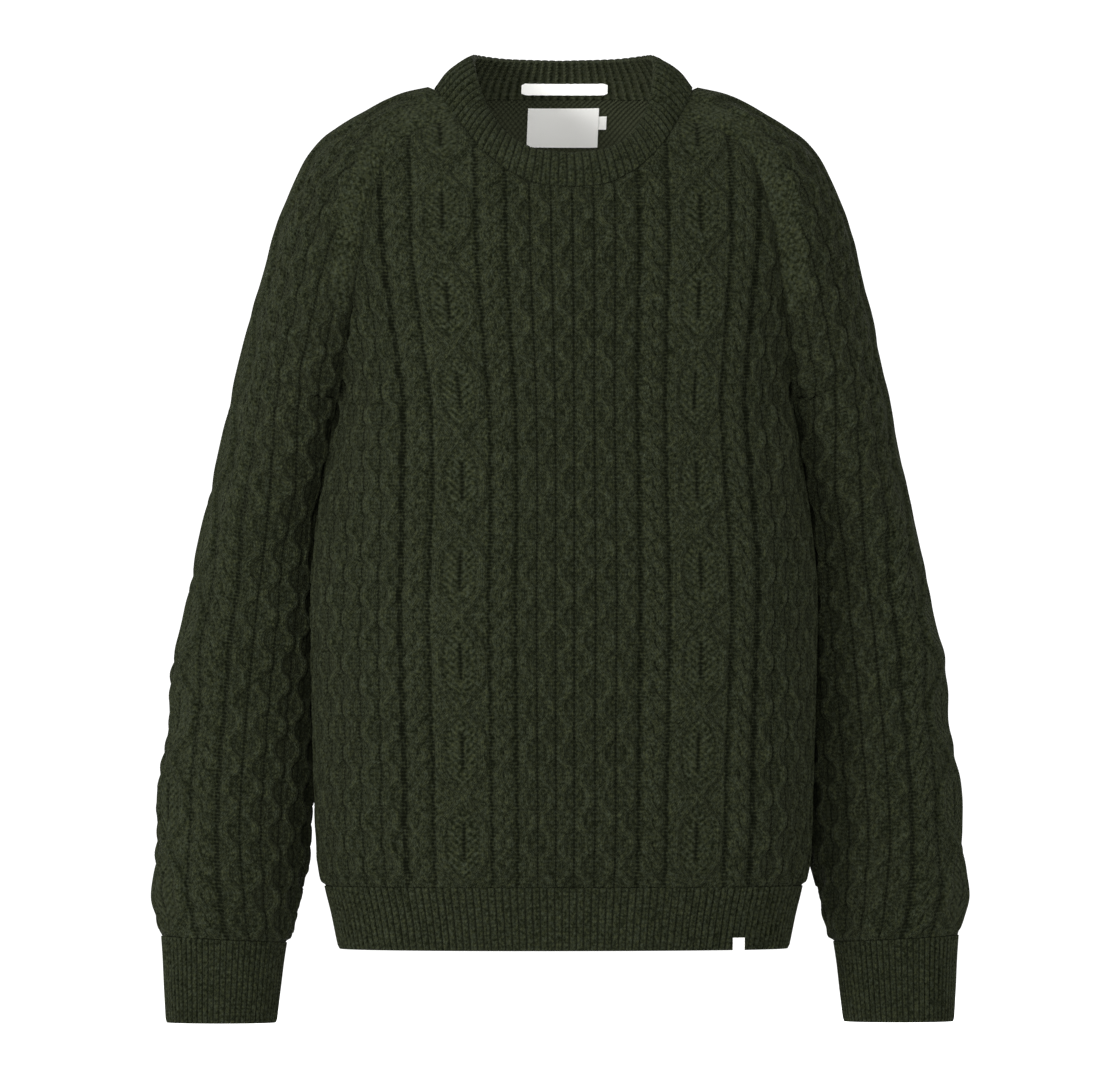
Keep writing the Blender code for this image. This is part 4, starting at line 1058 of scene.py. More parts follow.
@dataclass
class Knitting:
    """The pattern of a panel: the height of its cables, and where each strand runs."""

    bands: list
    rope_height: float = 0.0040
    honeycomb_height: float = 0.0042
    diamond_height: float = 0.0038
    phase: float = 0.0

    @staticmethod
    def for_body() -> "Knitting":
        """Return the pattern of the front and the back.

        Returns:
            The knitting.
        """
        bands, at = [], 0.0
        for kind, width in (
            ("honeycomb", FRONT_HONEYCOMB_COLUMNS * HONEYCOMB_COLUMN),
            ("rope", ROPE_BAND),
            ("diamond", 2 * DIAMOND_HALF),
            ("rope", ROPE_BAND),
            ("honeycomb", BODY_SIDE),
        ):
            bands.append(Band(kind, at, width))
            at += width + PURL_BAND
        return Knitting(bands)

    @staticmethod
    def for_sleeve() -> "Knitting":
        """Return the pattern of the sleeves.

        Returns:
            The knitting.
        """
        at = DIAMOND_HALF + PURL_BAND
        rope = Band("rope", at, ROPE_BAND)
        outer = Band("honeycomb", at + ROPE_BAND + PURL_BAND, SLEEVE_SIDE)
        return Knitting([Band("diamond", 0.0, DIAMOND_HALF), rope, outer])

    def opening(self, along: Array) -> Array:
        """Return how far each strand of the diamond is from the middle of its band."""
        wave = 1 - np.abs(2 * np.mod(along / DIAMOND_LENGTH, 1.0) - 1)
        return DIAMOND_CLOSED + DIAMOND_SPREAD * ease(wave * 1.35) ** 0.80

    def centre(self, band: Band, across: Array, picked: Array, along: Array) -> Array:
        """Find the line that the strand at a picked place follows.

        Args:
            band: The band.
            across: The picked place across, on the plus side.
            picked: The picked place along.
            along: Where the line's position is wanted.

        Returns:
            The strand's position across.
        """
        turn, picked_turn = math.pi * along / CABLE, math.pi * picked / CABLE
        if band.kind == "rope":
            strand = self.rope_strand(across - band.middle, picked_turn)
            return band.middle + strand * np.cos(turn) * ROPE_SWING
        if band.kind == "honeycomb":
            which = np.floor((across - band.start) / HONEYCOMB_COLUMN)
            swing = 0.5 + alternate(which) * self.swing(turn)
            return band.start + (which + swing) * HONEYCOMB_COLUMN
        local = across - band.middle
        edge = self.opening(picked)
        strand = np.sign(local) * self.opening(along)
        return band.middle + np.where(np.abs(local) < edge - LEAF_INSET, 0.0, strand)

    @staticmethod
    def swing(turn: Array) -> Array:
        """Return how far a honeycomb strand is from the middle of its column, in columns."""
        snap = math.tanh(HONEYCOMB_SNAP)
        return HONEYCOMB_SWING * np.tanh(HONEYCOMB_SNAP * np.cos(turn)) / snap

    @staticmethod
    def strand_tops(local: Array, turn: Array) -> list:
        """Return the round tops of a rope's two strands, from 0 to 1."""
        swing = np.cos(turn) * ROPE_SWING
        return [dome((local - strand * swing) / ROPE_STRAND_HALF) for strand in (1.0, -1.0)]

    def rope_strand(self, local: Array, turn: Array) -> Array:
        """Return 1 or -1 for the rope's strand that is on top at a place.

        Args:
            local: Places from the middle of the band.
            turn: The turn of the cable at each.

        Returns:
            The strand at each place.
        """
        first, second = self.strand_tops(local, turn)
        over = 0.45 * np.sin(turn)
        return np.where(second - over > first + over, -1.0, 1.0)

    def rope(self, local: Array, along: Array) -> tuple:
        """Return the height of a rope and the line between its strands, both from 0 to 1.

        Args:
            local: Places from the middle of the band.
            along: Places along.

        Returns:
            The heights and the line.
        """
        turn = math.pi * along / CABLE
        first, second = self.strand_tops(local, turn)
        over = 0.28 * np.sin(turn)
        first, second = first * (0.72 + over), second * (0.72 - over)
        between = bell(first - second, 0.16) * np.clip(np.minimum(first, second) / 0.4, 0, 1)
        return np.maximum(first, second) - 0.30 * between, between

    def honeycomb(self, local: Array, along: Array) -> tuple:
        """Find the height of the honeycomb.

        Args:
            local: Places from the edge of the band.
            along: Places along.

        Returns:
            Heights from 0 to 1, and the painted shade in the hollows from 0 to 1.
        """
        columns = local / HONEYCOMB_COLUMN
        which = np.floor(columns)
        turn = math.pi * along / CABLE
        place, swing = columns - which - 0.5, alternate(which) * self.swing(turn)
        top = dome((place - swing) / HONEYCOMB_STRAND_HALF)
        under = 0.30 * dome((place + swing) / HONEYCOMB_UNDER_HALF)
        # Painted shade in the slit along each column's edge, in the cells and in the crevices
        # beside the top strand.
        line = np.round(columns)
        apart = alternate(line) * np.cos(turn)
        near = (columns - line) * HONEYCOMB_COLUMN
        slit = bell(near, HONEYCOMB_SLIT) * (0.80 + 0.80 * np.abs(apart))
        cell = (0.10 + 0.20 * ease((apart - 0.1) / 0.7)) * ease((0.70 - top) / 0.70)
        from_side = np.abs(place - swing) - CREVICE_PLACE
        crevice = CREVICE_DARKNESS * bell(from_side, CREVICE_WIDTH)
        return np.maximum(top, under), np.maximum(np.maximum(slit, cell), crevice)

    def diamond(self, local: Array, along: Array) -> tuple:
        """Find the height of the diamond column.

        Args:
            local: Places from the middle of the band.
            along: Places along.

        Returns:
            Heights, the painted shade in the middle line and beside the strands, and where the leaf
            lies inside.
        """
        edge = self.opening(along)
        away = np.abs(local)
        strand = dome((away - edge) / DIAMOND_STRAND_HALF)
        leaf = ease((edge - LEAF_INSET - away) / 0.0015)
        phase = np.mod(along / DIAMOND_LENGTH, 1.0)
        slit = ease((0.24 - np.abs(phase - 0.52)) / 0.05) * bell(local, LEAF_SLIT)
        vein = np.cos(math.pi * (along - VEIN_SLOPE * away) / ROW)
        height = np.maximum(strand, leaf * (0.48 + 0.14 * vein) * (1 - 0.75 * slit))
        filler = 0.14 * ease((DIAMOND_HALF - away) / 0.0020)
        # Painted shade in the leaf's middle slit, between its veins and in the furrows beside the
        # strands.
        dark = np.maximum(1.4 * slit, 0.20 * (0.5 - 0.5 * vein)) * leaf
        for side in (DIAMOND_OUTLINE, -DIAMOND_OUTLINE):
            dark = np.maximum(dark, OUTLINE_DARKNESS * bell(away - edge + side, OUTLINE_WIDTH))
        return np.maximum(height, filler), dark, leaf * (strand < 0.55)

    def read(self, across: Array, along: Array) -> dict:
        """Read the pattern.

        Args:
            across: Places across.
            along: Places along.

        Returns:
            The relief in metres, the painted shade in the hollows, and the kind of stitch.
        """
        along = along + self.phase
        away = np.abs(across)
        relief, hollow = np.zeros_like(across), self.channel(away, along)
        kind = np.full(across.shape, float(Stitch.PURL.value))
        for band in self.bands:
            inside = band.holds(away)
            if band.kind == "rope":
                height, between = self.rope(away - band.middle, along)
                side = np.abs(away - band.middle) / (band.width / 2)
                # Painted shade: darker where the rope is low, along the line between its strands
                # and at its sides.
                dark = np.maximum(ease((0.50 - height) / 0.50) * 0.60, between * 1.10)
                dark = np.maximum(dark, ease((side - 0.90) / 0.10) * 0.5)
                tall = self.rope_height
                stitch = np.where(height > 0.10, Stitch.KNIT.value, Stitch.PURL.value)
            elif band.kind == "honeycomb":
                height, dark = self.honeycomb(away - band.start, along)
                tall = self.honeycomb_height
                stitch = np.full(across.shape, Stitch.KNIT.value)
            else:
                height, dark, leaf = self.diamond(away - band.middle, along)
                tall = self.diamond_height
                stitch = np.where(height > 0.12, Stitch.KNIT.value, Stitch.PURL.value)
                stitch = np.where(leaf > 0.5, Stitch.LEAF.value, stitch)
            relief = np.where(inside, height * tall, relief)
            hollow = np.where(inside, dark, hollow)
            kind = np.where(inside, stitch, kind)
        return dict(relief=relief, hollow=hollow, kind=kind)

    def channel(self, away: Array, along: Array) -> Array:
        """Return the painted shade in the purl channels between the bands, wavy beside the ropes.

        Args:
            away: Distances from the panel's middle.
            along: Places along.

        Returns:
            How dark the painted shade is at each place.
        """
        dark = np.full(away.shape, PURL_DARKNESS)
        wave = CHANNEL_WAVE * np.cos(2 * math.pi * along / CABLE)
        for band in self.bands:
            middle = band.start + band.width + PURL_BAND / 2
            channel = CHANNEL_DARKNESS * bell(away - middle - wave, CHANNEL_WIDTH)
            dark = np.maximum(dark, channel)
        return dark

    def strand_place(
        self, across: Array, along: Array, corner_across: Array, corner_along: Array
    ) -> Array:
        """Measure corners of faces across the strand that the face lies on.

        Args:
            across: The face's place across.
            along: The face's place along.
            corner_across: The corner's place across.
            corner_along: The corner's place along.

        Returns:
            The corner's distance from the middle of the strand.
        """
        side = np.where(across < 0, -1.0, 1.0)
        away, corner = np.abs(across), corner_across * side
        local = corner.copy()
        for band in self.bands:
            line = self.centre(band, away, along + self.phase, corner_along + self.phase)
            local = np.where(band.holds(away), corner - line, local)
        return local


# -------- meshes


def distance_to_outline(points: Array, ring: Array) -> Array:
    """Return each point's distance to the outline, read from a fine copy of it.

    Args:
        points: Rows of across and along.
        ring: The outline.

    Returns:
        The distances.
    """
    tree = BVHTree.FromPolygons(
        [(u, v, 0.0) for u, v in ring] + [(u, v, 0.001) for u, v in ring],
        [
            (i, (i + 1) % len(ring), (i + 1) % len(ring) + len(ring), i + len(ring))
            for i in range(len(ring))
        ],
    )
    return np.array([tree.find_nearest((u, v, 0.0005))[3] for u, v in points])


def inside_outline(points: Array, ring: Array) -> Array:
    """Return which points lie inside the outline.

    Args:
        points: Rows of across and along.
        ring: The outline.

    Returns:
        True for each point inside.
    """
    inside = np.zeros(len(points), bool)
    x, y = points[:, 0], points[:, 1]
    for (x0, y0), (x1, y1) in zip(ring, np.roll(ring, -1, axis=0)):
        if y0 == y1:
            continue
        crosses = (y0 > y) != (y1 > y)
        inside ^= crosses & (x < (x1 - x0) * (y - y0) / (y1 - y0) + x0)
    return inside


def grid_inside(ring: Array, step: tuple, margin: float) -> Array:
    """Fill an outline with evenly spaced points.

    Args:
        ring: The outline.
        step: Spacing across and along.
        margin: Least distance from the outline.

    Returns:
        Rows of across and along.
    """
    low, high = ring.min(axis=0), ring.max(axis=0)
    count = int(max(-low[0], high[0]) / step[0]) + 1
    rows = np.arange(low[1] + step[1] / 2, high[1], step[1])
    across = np.arange(-count, count + 1) * step[0]
    points = np.array(np.meshgrid(across, rows)).reshape(2, -1).T
    points = points[inside_outline(points, ring)]
    return points[distance_to_outline(points, ring) > margin]


def triangulate(ring: Array, inner: Array) -> Array:
    """Return triangles over the outline, whose points come first, and the points inside.

    Args:
        ring: The outline.
        inner: The points inside.

    Returns:
        Rows of three point numbers.
    """
    points = np.concatenate([ring, inner]) * 1000
    count = len(ring)
    edges = [(i, (i + 1) % count) for i in range(count)]
    result = delaunay_2d_cdt(
        [tuple(p) for p in points.tolist()], edges, [tuple(range(count))], 1, 1e-6
    )
    back_to = [ids[0] for ids in result[3]]
    return np.array([[back_to[corner] for corner in face] for face in result[2]])


def linked(name: str, data: object) -> bpy.types.Object:
    """Return a new object of this data in the scene.

    Args:
        name: Its name.
        data: Its mesh, lens or light.

    Returns:
        The object.
    """
    obj = bpy.data.objects.new(name, data)
    bpy.context.scene.collection.objects.link(obj)
    return obj


def store_uv(mesh: bpy.types.Mesh, name: str, corners: Array) -> None:
    """Store a place across and along on each corner of the mesh's faces."""
    layer = mesh.uv_layers.new(name=name)
    layer.data.foreach_set("uv", corners.astype(np.float32).ravel())


def finished(
    mesh: bpy.types.Mesh, material: bpy.types.Material, sharp: float, weld: bool = False
) -> bpy.types.Object:
    """Turn a closed mesh's faces outward, shade it and link it.

    Args:
        mesh: The mesh.
        material: Its finish.
        sharp: The angle above which an edge stays sharp.
        weld: Whether edges that meet are joined.

    Returns:
        The object, named as its mesh.
    """
    mesh.materials.append(material)
    bm = bmesh.new()
    bm.from_mesh(mesh)
    if weld:
        bmesh.ops.remove_doubles(bm, verts=bm.verts, dist=WELD_DISTANCE)
    bmesh.ops.recalc_face_normals(bm, faces=bm.faces)
    if bm.calc_volume(signed=True) < 0:
        bmesh.ops.reverse_faces(bm, faces=bm.faces)
    bm.to_mesh(mesh)
    bm.free()
    mesh.shade_smooth()
    mesh.set_sharp_from_angle(angle=sharp)
    LOG.info("%s: %d faces", mesh.name, len(mesh.polygons))
    return linked(mesh.name, mesh)


@dataclass
class Skin:
    """Points and faces of a knitted piece, with what the wool finish reads from them."""

    points: Array
    faces: list
    corners: Array
    kind: Array
    hollow: Array

    def build(
        self, name: str, material: bpy.types.Material, weld: bool = False
    ) -> bpy.types.Object:
        """Make the object.

        Args:
            name: The piece's name.
            material: Its finish.
            weld: Whether edges that meet are joined.

        Returns:
            The object.
        """
        mesh = bpy.data.meshes.new(name)
        mesh.from_pydata(self.points.tolist(), [], [tuple(map(int, face)) for face in self.faces])
        store_uv(mesh, STITCH_MAP, self.corners)
        # Store the stitch kind, and the painted shade (above 0) and painted light (below 0) that
        # the wool finish reads.
        for label, values in (("stitch", self.kind), ("hollow", self.hollow)):
            attribute = mesh.attributes.new(label, "FLOAT", "POINT")
            attribute.data.foreach_set("value", values.astype(np.float32))
        return finished(mesh, material, RIM_ANGLE, weld)

    def mirrored(self) -> "Skin":
        """Return the skin of the same piece for the other side."""
        return replace(self, points=self.points * (-1, 1, 1))


@dataclass
class Folds:
    """Soft, uneven creases laid over a piece of cloth."""

    rows: tuple
    uneven: float = 0.0009

    def lift(self, across: Array, along: Array) -> Array:
        """Return how far the cloth stands off its plain form.

        Args:
            across: Positions across.
            along: Positions along.

        Returns:
            The lift of each position.
        """
        lift = np.zeros_like(across)
        for u0, v0, u1, v1, width, height in self.rows:
            run = np.array([u1 - u0, v1 - v0])
            length = float(np.hypot(*run))
            part = ((across - u0) * run[0] + (along - v0) * run[1]) / length**2
            away = ((across - u0) * run[1] - (along - v0) * run[0]) / length
            bend = away + 0.18 * length * (part * (1 - part)) * np.sign(height)
            ends = bell(np.clip(np.abs(part - 0.5) - 0.30, 0, None), 0.22)
            swell = 1 + 0.35 * np.sin(5.1 * part + 40 * u0)
            lift += height * ends * swell * bell(bend, width)
        waves = np.sin(31 * across + 2.1 * np.sin(9 * along)) * np.sin(17 * along + 1.3)
        waves = waves + 0.7 * np.sin(53 * across - 23 * along)
        return lift + self.uneven * waves


@dataclass
class CablePanel:
    """A cabled piece of cloth: raised knitting outside and plain reverse inside."""

    cloth: object
    knitting: Knitting
    folds: Folds

    def moss_share(self, flat: Array) -> Array:
        """Return where a sleeve is moss stitch: beside its armhole and shoulder seams.

        Args:
            flat: Rows of across and along.

        Returns:
            Shares from 0 to 1.
        """
        if isinstance(self.cloth, BodyCloth):
            return np.zeros(len(flat))
        front, back = self.cloth.half_widths(flat[:, 1])
        near = np.minimum(front - flat[:, 0], flat[:, 0] + back)
        high = ease((flat[:, 1] - self.cloth.underarm - 0.05) / 0.08)
        return high * (1 - ease((near - SADDLE_MOSS) / 0.004))

    def skin(self) -> Skin:
        """Lay out the outside, the inside and the rims between them.

        Returns:
            The skin of the +X or middle piece.
        """
        ring = self.cloth.outline(OUTLINE_STEP)
        outer = grid_inside(ring, MESH_STEP, OUTER_MARGIN)
        lining = grid_inside(ring, LINING_STEP, LINING_MARGIN)
        outer_faces, inner_faces = triangulate(ring, outer), triangulate(ring, lining)
        flat, edge = self.laid(ring, outer)
        read = self.knitting.read(flat[:, 0], flat[:, 1])
        moss = self.moss_share(flat)
        at_edge = 0.15 if isinstance(self.cloth, BodyCloth) else 0.0
        relief = read["relief"] * (1 - moss) * (at_edge + (1 - at_edge) * ease(edge / RELIEF_EDGE))
        outside = self.raised(flat, edge, relief)
        kind = np.where(moss > 0.5, float(Stitch.MOSS.value), read["kind"])
        hollow = read["hollow"] * (1 - moss)
        under, under_edge = self.laid(ring, lining)
        inside = self.raised(under, under_edge, -WALL)
        count, shift = len(ring), len(outside)
        rims = [
            ((i + 1) % count, i, i + shift, (i + 1) % count + shift)
            for i in range(count)
            if not self.joined(ring[i], ring[(i + 1) % count])
        ]
        corner = flat[outer_faces]
        middle = np.repeat(corner.mean(axis=1), 3, axis=0)
        corner = corner.reshape(-1, 2)
        local = self.knitting.strand_place(*middle.T, *corner.T)
        turned = inner_faces[:, ::-1]
        both = np.concatenate([flat, under])
        uv = [np.stack([local, corner[:, 1]], axis=1)]
        uv += [under[turned].reshape(-1, 2), both[np.array(rims)].reshape(-1, 2)]
        # The outside carries painted shade in its hollows, the inside painted light.
        return Skin(
            points=np.concatenate([outside, inside]),
            faces=outer_faces.tolist() + (turned + shift).tolist() + rims,
            corners=np.concatenate(uv),
            kind=np.concatenate([kind, np.full(len(under), float(Stitch.PURL.value))]),
            hollow=np.concatenate([hollow, np.full(len(under), -LINING_PAINTED_LIGHT)]),
        )

    @staticmethod
    def laid(ring: Array, inner: Array) -> tuple:
        """Return the outline's points and the inner ones, and how far each is from the edge."""
        edge = np.concatenate([np.zeros(len(ring)), distance_to_outline(inner, ring)])
        return np.concatenate([ring, inner]), edge

    def raised(self, flat: Array, edge: Array, relief: object) -> Array:
        """Set cloth places on the form, lifted off it by the creases and by the relief.

        Args:
            flat: Rows of across and along.
            edge: How far each is from the edge.
            relief: The relief of each, or of all.

        Returns:
            The points.
        """
        lift = relief + self.folds.lift(flat[:, 0], flat[:, 1]) * ease(edge / FOLD_EDGE)
        facing = self.cloth.normals(flat[:, 0], flat[:, 1])
        return self.cloth.place(flat[:, 0], flat[:, 1]) + facing * lift[:, None]

    def joined(self, here: Array, there: Array) -> bool:
        """Return whether an edge of the outline is sewn to another edge of the same piece.

        Args:
            here: The edge's first point.
            there: Its last point.

        Returns:
            Whether it is sewn.
        """
        if isinstance(self.cloth, BodyCloth):
            return False
        low = max(here[1], there[1]) <= self.cloth.underarm + 1e-9
        return bool(low and abs(here[1] - there[1]) > 1e-9)


# -------- ribs


@dataclass
class RibBand:
    """A band of single rib: rounded knit columns with narrow purl furrows between them."""

    ribs: int
    tall: float
    wall: float
    closed: bool
    relief: float = 0.0019
    reverse: float = 0.0004
    samples: int = 8
    # Painted shade over the whole outside of the band, which the furrows deepen.
    shade: float = 0.14

    def level(self, part: float, count: int, lift: Array) -> tuple:
        """Return a level's points and facings, part 0 at the free edge to 1 at the other."""
        raise NotImplementedError

    def skin(self) -> Skin:
        """Lay out the ribbed outside, the plain inside and the rims.

        Returns:
            The band's skin.
        """
        count = self.ribs * self.samples + (0 if self.closed else 1)
        phase = np.arange(count) / self.samples
        across = np.abs(np.cos(math.pi * phase))
        profile = across**0.55
        rows = int(self.tall / ROW) + 1
        points = []
        for row in range(rows):
            part = row / (rows - 1)
            end = 1 - 0.40 * max(0.0, 1 - part * self.tall / 0.003)
            wander = 1 + 0.10 * np.sin(7 * phase + 3 * part)
            points.append(self.level(part, count, profile * self.relief * end * wander)[0])
        linings = (0.0, 0.34, 0.67, 1.0)
        for part in linings:
            level, facing = self.level(part, count, np.zeros(count))
            inner = self.reverse * ((1 - across) ** 0.7 - 0.5)
            points.append(level - facing * (self.wall - inner)[:, None])
        faces, uv = [], []
        wide = count if self.closed else count - 1

        def strip(low: int, high: int, from_along: float, to_along: float, turned: bool) -> None:
            """Join two levels with faces.

            Args:
                low: The first point of one level.
                high: The first point of the other.
                from_along: Where the first level is along the knitting.
                to_along: Where the other one is.
                turned: Whether the faces look inward.
            """
            for i in range(wide):
                j = (i + 1) % count
                face = [low + i, low + j, high + j, high + i]
                u0, u1 = (i / self.samples + 0.5) * STITCH, ((i + 1) / self.samples + 0.5) * STITCH
                spots = [(u0, from_along), (u1, from_along), (u1, to_along), (u0, to_along)]
                faces.append(face[::-1] if turned else face)
                uv.extend(spots[::-1] if turned else spots)

        for row in range(rows - 1):
            strip(row * count, (row + 1) * count, row * ROW, (row + 1) * ROW, False)
        first = rows * count
        for row in range(len(linings) - 1):
            here, there = linings[row] * self.tall, linings[row + 1] * self.tall
            strip(first + row * count, first + (row + 1) * count, here, there, True)
        strip(first, 0, -self.wall, 0.0, False)
        last = first + (len(linings) - 1) * count
        strip((rows - 1) * count, last, self.tall, self.tall + self.wall, False)
        if not self.closed:
            for end, turned in ((0, False), (count - 1, True)):
                loop = [end + count * row for row in range(rows)]
                loop += [first + end + count * row for row in range(len(linings) - 1, -1, -1)]
                faces.append(loop[::-1] if turned else loop)
                uv.extend([(0.0, 0.0)] * len(loop))
        # Painted shade outside, deepest in the purl furrows; inside, painted light between the knit
        # columns and painted shade behind them.
        furrow_shade = np.tile(self.shade + 0.50 * (1 - across) ** 1.6, rows)
        reverse = np.tile(-0.50 + 0.85 * across**3, len(linings))
        total = len(furrow_shade) + len(reverse)
        hollow = np.concatenate([furrow_shade, reverse])
        return Skin(np.concatenate(points), faces, np.array(uv), np.zeros(total), hollow)


@dataclass
class HemBand(RibBand):
    """Half of the hem, front or back."""

    back: bool = False

    def level(self, part: float, count: int, lift: Array) -> tuple:
        """Return a level's points and facings, part 0 at the free edge to 1 at the seam.

        Args:
            part: How far up the band the level is.
            count: Points round the level.
            lift: How far each point stands off the form.

        Returns:
            The points and the facings.
        """
        heights = np.full(count, HEM_EDGE + (HEM_SEAM - SEAM_GAP - HEM_EDGE) * part)
        edge = side_distance(heights, self.back) - SEAM_GAP / 2
        distance = np.linspace(-1, 1, count) * edge
        facing = body_facing(distance, heights, self.back)
        return on_body(distance, heights, self.back) + facing * lift[:, None], facing


@dataclass
class CuffBand(RibBand):
    """The +X cuff, whose top leans with the end of the sleeve."""

    lean: float = math.radians(3)

    def level(self, part: float, count: int, lift: Array) -> tuple:
        """Return a level's points and facings, part 0 at the free edge to 1 at the seam.

        Args:
            part: How far up the band the level is.
            count: Points round the level.
            lift: How far each point stands off the form.

        Returns:
            The points and the facings.
        """
        height = CUFF_EDGE + (CUFF_SEAM - CUFF_EDGE) * part
        x, y, wide, deep = (float(CUFF_FORM.read(name, height)) for name in CUFF_FORM.columns[1:])
        angle = np.linspace(0, 2 * math.pi, count, endpoint=False)
        facing = unit(np.stack([np.cos(angle) / wide, np.sin(angle) / deep, 0 * angle], axis=1))
        ring = np.stack([wide * np.cos(angle), deep * np.sin(angle), np.zeros(count)], axis=1)
        ring[:, 2] = math.tan(self.lean) * part * ring[:, 0]
        return ring + (x, y, height) + facing * lift[:, None], facing


@dataclass
class Collar(RibBand):
    """The round collar, knitted up from the neck seam."""

    def level(self, part: float, count: int, lift: Array) -> tuple:
        """Return a level's points and facings, part 0 at the top edge to 1 at the neck seam.

        Args:
            part: How far up the band the level is.
            count: Points round the level.
            lift: How far each point stands off the form.

        Returns:
            The points and the facings.
        """
        up_part = 1 - part
        around = np.linspace(0, 2, count, endpoint=False)
        mirror = np.ones((count, 3))
        mirror[:, 0] = np.where(around > 1, -1.0, 1.0)
        half = self.even_rounds(np.where(around > 1, 2 - around, around))
        base = neck_seam(half)
        top = np.stack([COLLAR_FORM.read(name, half) for name in COLLAR_FORM.columns[1:]], axis=1)
        rise = unit(top - base)
        ends = [neck_seam(np.clip(half + step, 0, 1)) for step in (ROUND_PROBE, -ROUND_PROBE)]
        ahead = unit(ends[0] - ends[1])
        standing = unit(np.cross(ahead, rise))
        cloth = self.seam_facing(half)
        facing = unit(cloth + (standing - cloth) * float(ease(up_part / 0.5)))
        up = rise - cloth * (rise * cloth).sum(1)[:, None] - ahead * (rise * ahead).sum(1)[:, None]
        gap = COLLAR_GAP * (1 + bell(half - NECK_BACK_CORNER_ROUND, 0.05))
        points = base * part + top * up_part + unit(up) * (gap * part)[:, None]
        bulge = COLLAR_BULGE * math.sin(math.pi * up_part)
        points = points + facing * (bulge + lift[:, None])
        return points * mirror, facing * mirror

    @staticmethod
    def even_rounds(parts: Array) -> Array:
        """Return values round the neck seam that are evenly spaced along it.

        Args:
            parts: Parts of the seam's length.

        Returns:
            Values for neck_seam.
        """
        rounds = np.linspace(0, 1, 300)
        length = running_length(neck_seam(rounds))
        return np.interp(parts * length[-1], length, rounds)

    @staticmethod
    def seam_facing(half: Array) -> Array:
        """Return the way the cloth faces along the neck seam.

        Args:
            half: Values round the neck seam.

        Returns:
            One facing for each.
        """
        facing = np.empty((len(half), 3))
        for face in Face:
            back = face is Face.BACK
            chosen = (half > NECK_SIDE_ROUND) == back
            cloth = BodyCloth(face)
            distance, height = neck_line(half[chosen], back)
            across = cloth.to_across(distance, height)
            facing[chosen] = cloth.normals(across, cloth.to_along(height))
        return facing


# -------- labels


@dataclass(frozen=True)
class Label:
    """A bare woven label, its middle and its size."""

    name: str
    x: float
    height: float
    width: float
    tall: float
    round_corners: bool = False
    thick: float = 0.0009
    clearance: float = 0.0004

    def outline(self, columns: int, rows: int) -> tuple:
        """Return side positions and heights of a grid over the label.

        Args:
            columns: Points across.
            rows: Points up.

        Returns:
            The side positions and the heights.
        """
        across, up = np.meshgrid(np.linspace(-0.5, 0.5, columns), np.linspace(-0.5, 0.5, rows))
        from_end = np.clip((0.5 - np.abs(across)) * self.width / (self.tall / 4), 0, 1)
        squeeze = 0.72 + 0.28 * dome(1 - from_end) if self.round_corners else 1.0
        across, heights = self.x + across * self.width, self.height + up * self.tall * squeeze
        return across.ravel(), heights.ravel()

    def laid_inside(
        self, cloth: bpy.types.Object, material: bpy.types.Material
    ) -> bpy.types.Object:
        """Lay the label on the inside of a piece's back.

        Args:
            cloth: The piece it is sewn to.
            material: The label's finish.

        Returns:
            The label.
        """
        mesh = cloth.data
        tree = BVHTree.FromPolygons(
            [v.co[:] for v in mesh.vertices], [tuple(p.vertices) for p in mesh.polygons]
        )
        hits = [
            tree.ray_cast((side, 0.0, up), (0.0, 1.0, 0.0))[:2]
            for side, up in zip(*self.outline(*LABEL_GRID))
        ]
        points, facings = (np.array([part[:] for part in parts]) for parts in zip(*hits))
        facing = unit(np.mean(facings, axis=0)[None])[0]
        flat = self.eased(points, facing) + facing * self.clearance
        return self.plate(flat, facing, *LABEL_GRID, material)

    @staticmethod
    def eased(points: Array, facing: Array) -> Array:
        """Return the points smoothed along the facing and kept clear of the cloth.

        Args:
            points: The grid on the cloth.
            facing: The way the label faces.

        Returns:
            The moved points.
        """
        off = (points @ facing).reshape(LABEL_GRID[::-1])
        calm = off.copy()
        for _ in range(LABEL_EASING):
            padded = np.pad(calm, 1, mode="edge")
            calm = padded[:-2, 1:-1] + padded[2:, 1:-1] + padded[1:-1, :-2] + padded[1:-1, 2:]
            calm /= 4
        calm += max(0.0, float((off - calm).max()))
        return points + facing * (calm - off).reshape(-1, 1)

    def plate(
        self, points: Array, facing: Array, columns: int, rows: int, material: bpy.types.Material
    ) -> bpy.types.Object:
        """Thicken a grid of points into the label.

        Args:
            points: The grid, on the cloth.
            facing: The way the label faces.
            columns: Points across.
            rows: Points up.
            material: The finish.

        Returns:
            The label.
        """
        spot = np.arange(rows * columns).reshape(rows, columns)
        corners = (spot[:-1, :-1], spot[:-1, 1:], spot[1:, 1:], spot[1:, :-1])
        faces = np.stack(corners, axis=-1).reshape(-1, 4)
        both = np.concatenate([points, points + facing * self.thick])
        shift = len(points)
        ring = [*spot[0], *spot[1:, -1], *spot[-1, -2::-1], *spot[-2:0:-1, 0]]
        sides = [
            (there, here, here + shift, there + shift)
            for here, there in zip(ring, ring[1:] + ring[:1])
        ]
        faces = np.concatenate([faces, faces[:, ::-1] + shift, sides])
        mesh = bpy.data.meshes.new(self.name)
        mesh.from_pydata(both.tolist(), [], faces.tolist())
        across = np.tile(np.tile(np.linspace(-0.5, 0.5, columns) * self.width, rows), 2)
        up = np.tile(np.repeat(np.linspace(-0.5, 0.5, rows) * self.tall, columns), 2)
        corner = np.array([loop.vertex_index for loop in mesh.loops])
        store_uv(mesh, WEAVE_MAP, np.stack([across[corner], up[corner]], axis=1))
        return finished(mesh, material, LABEL_ANGLE)


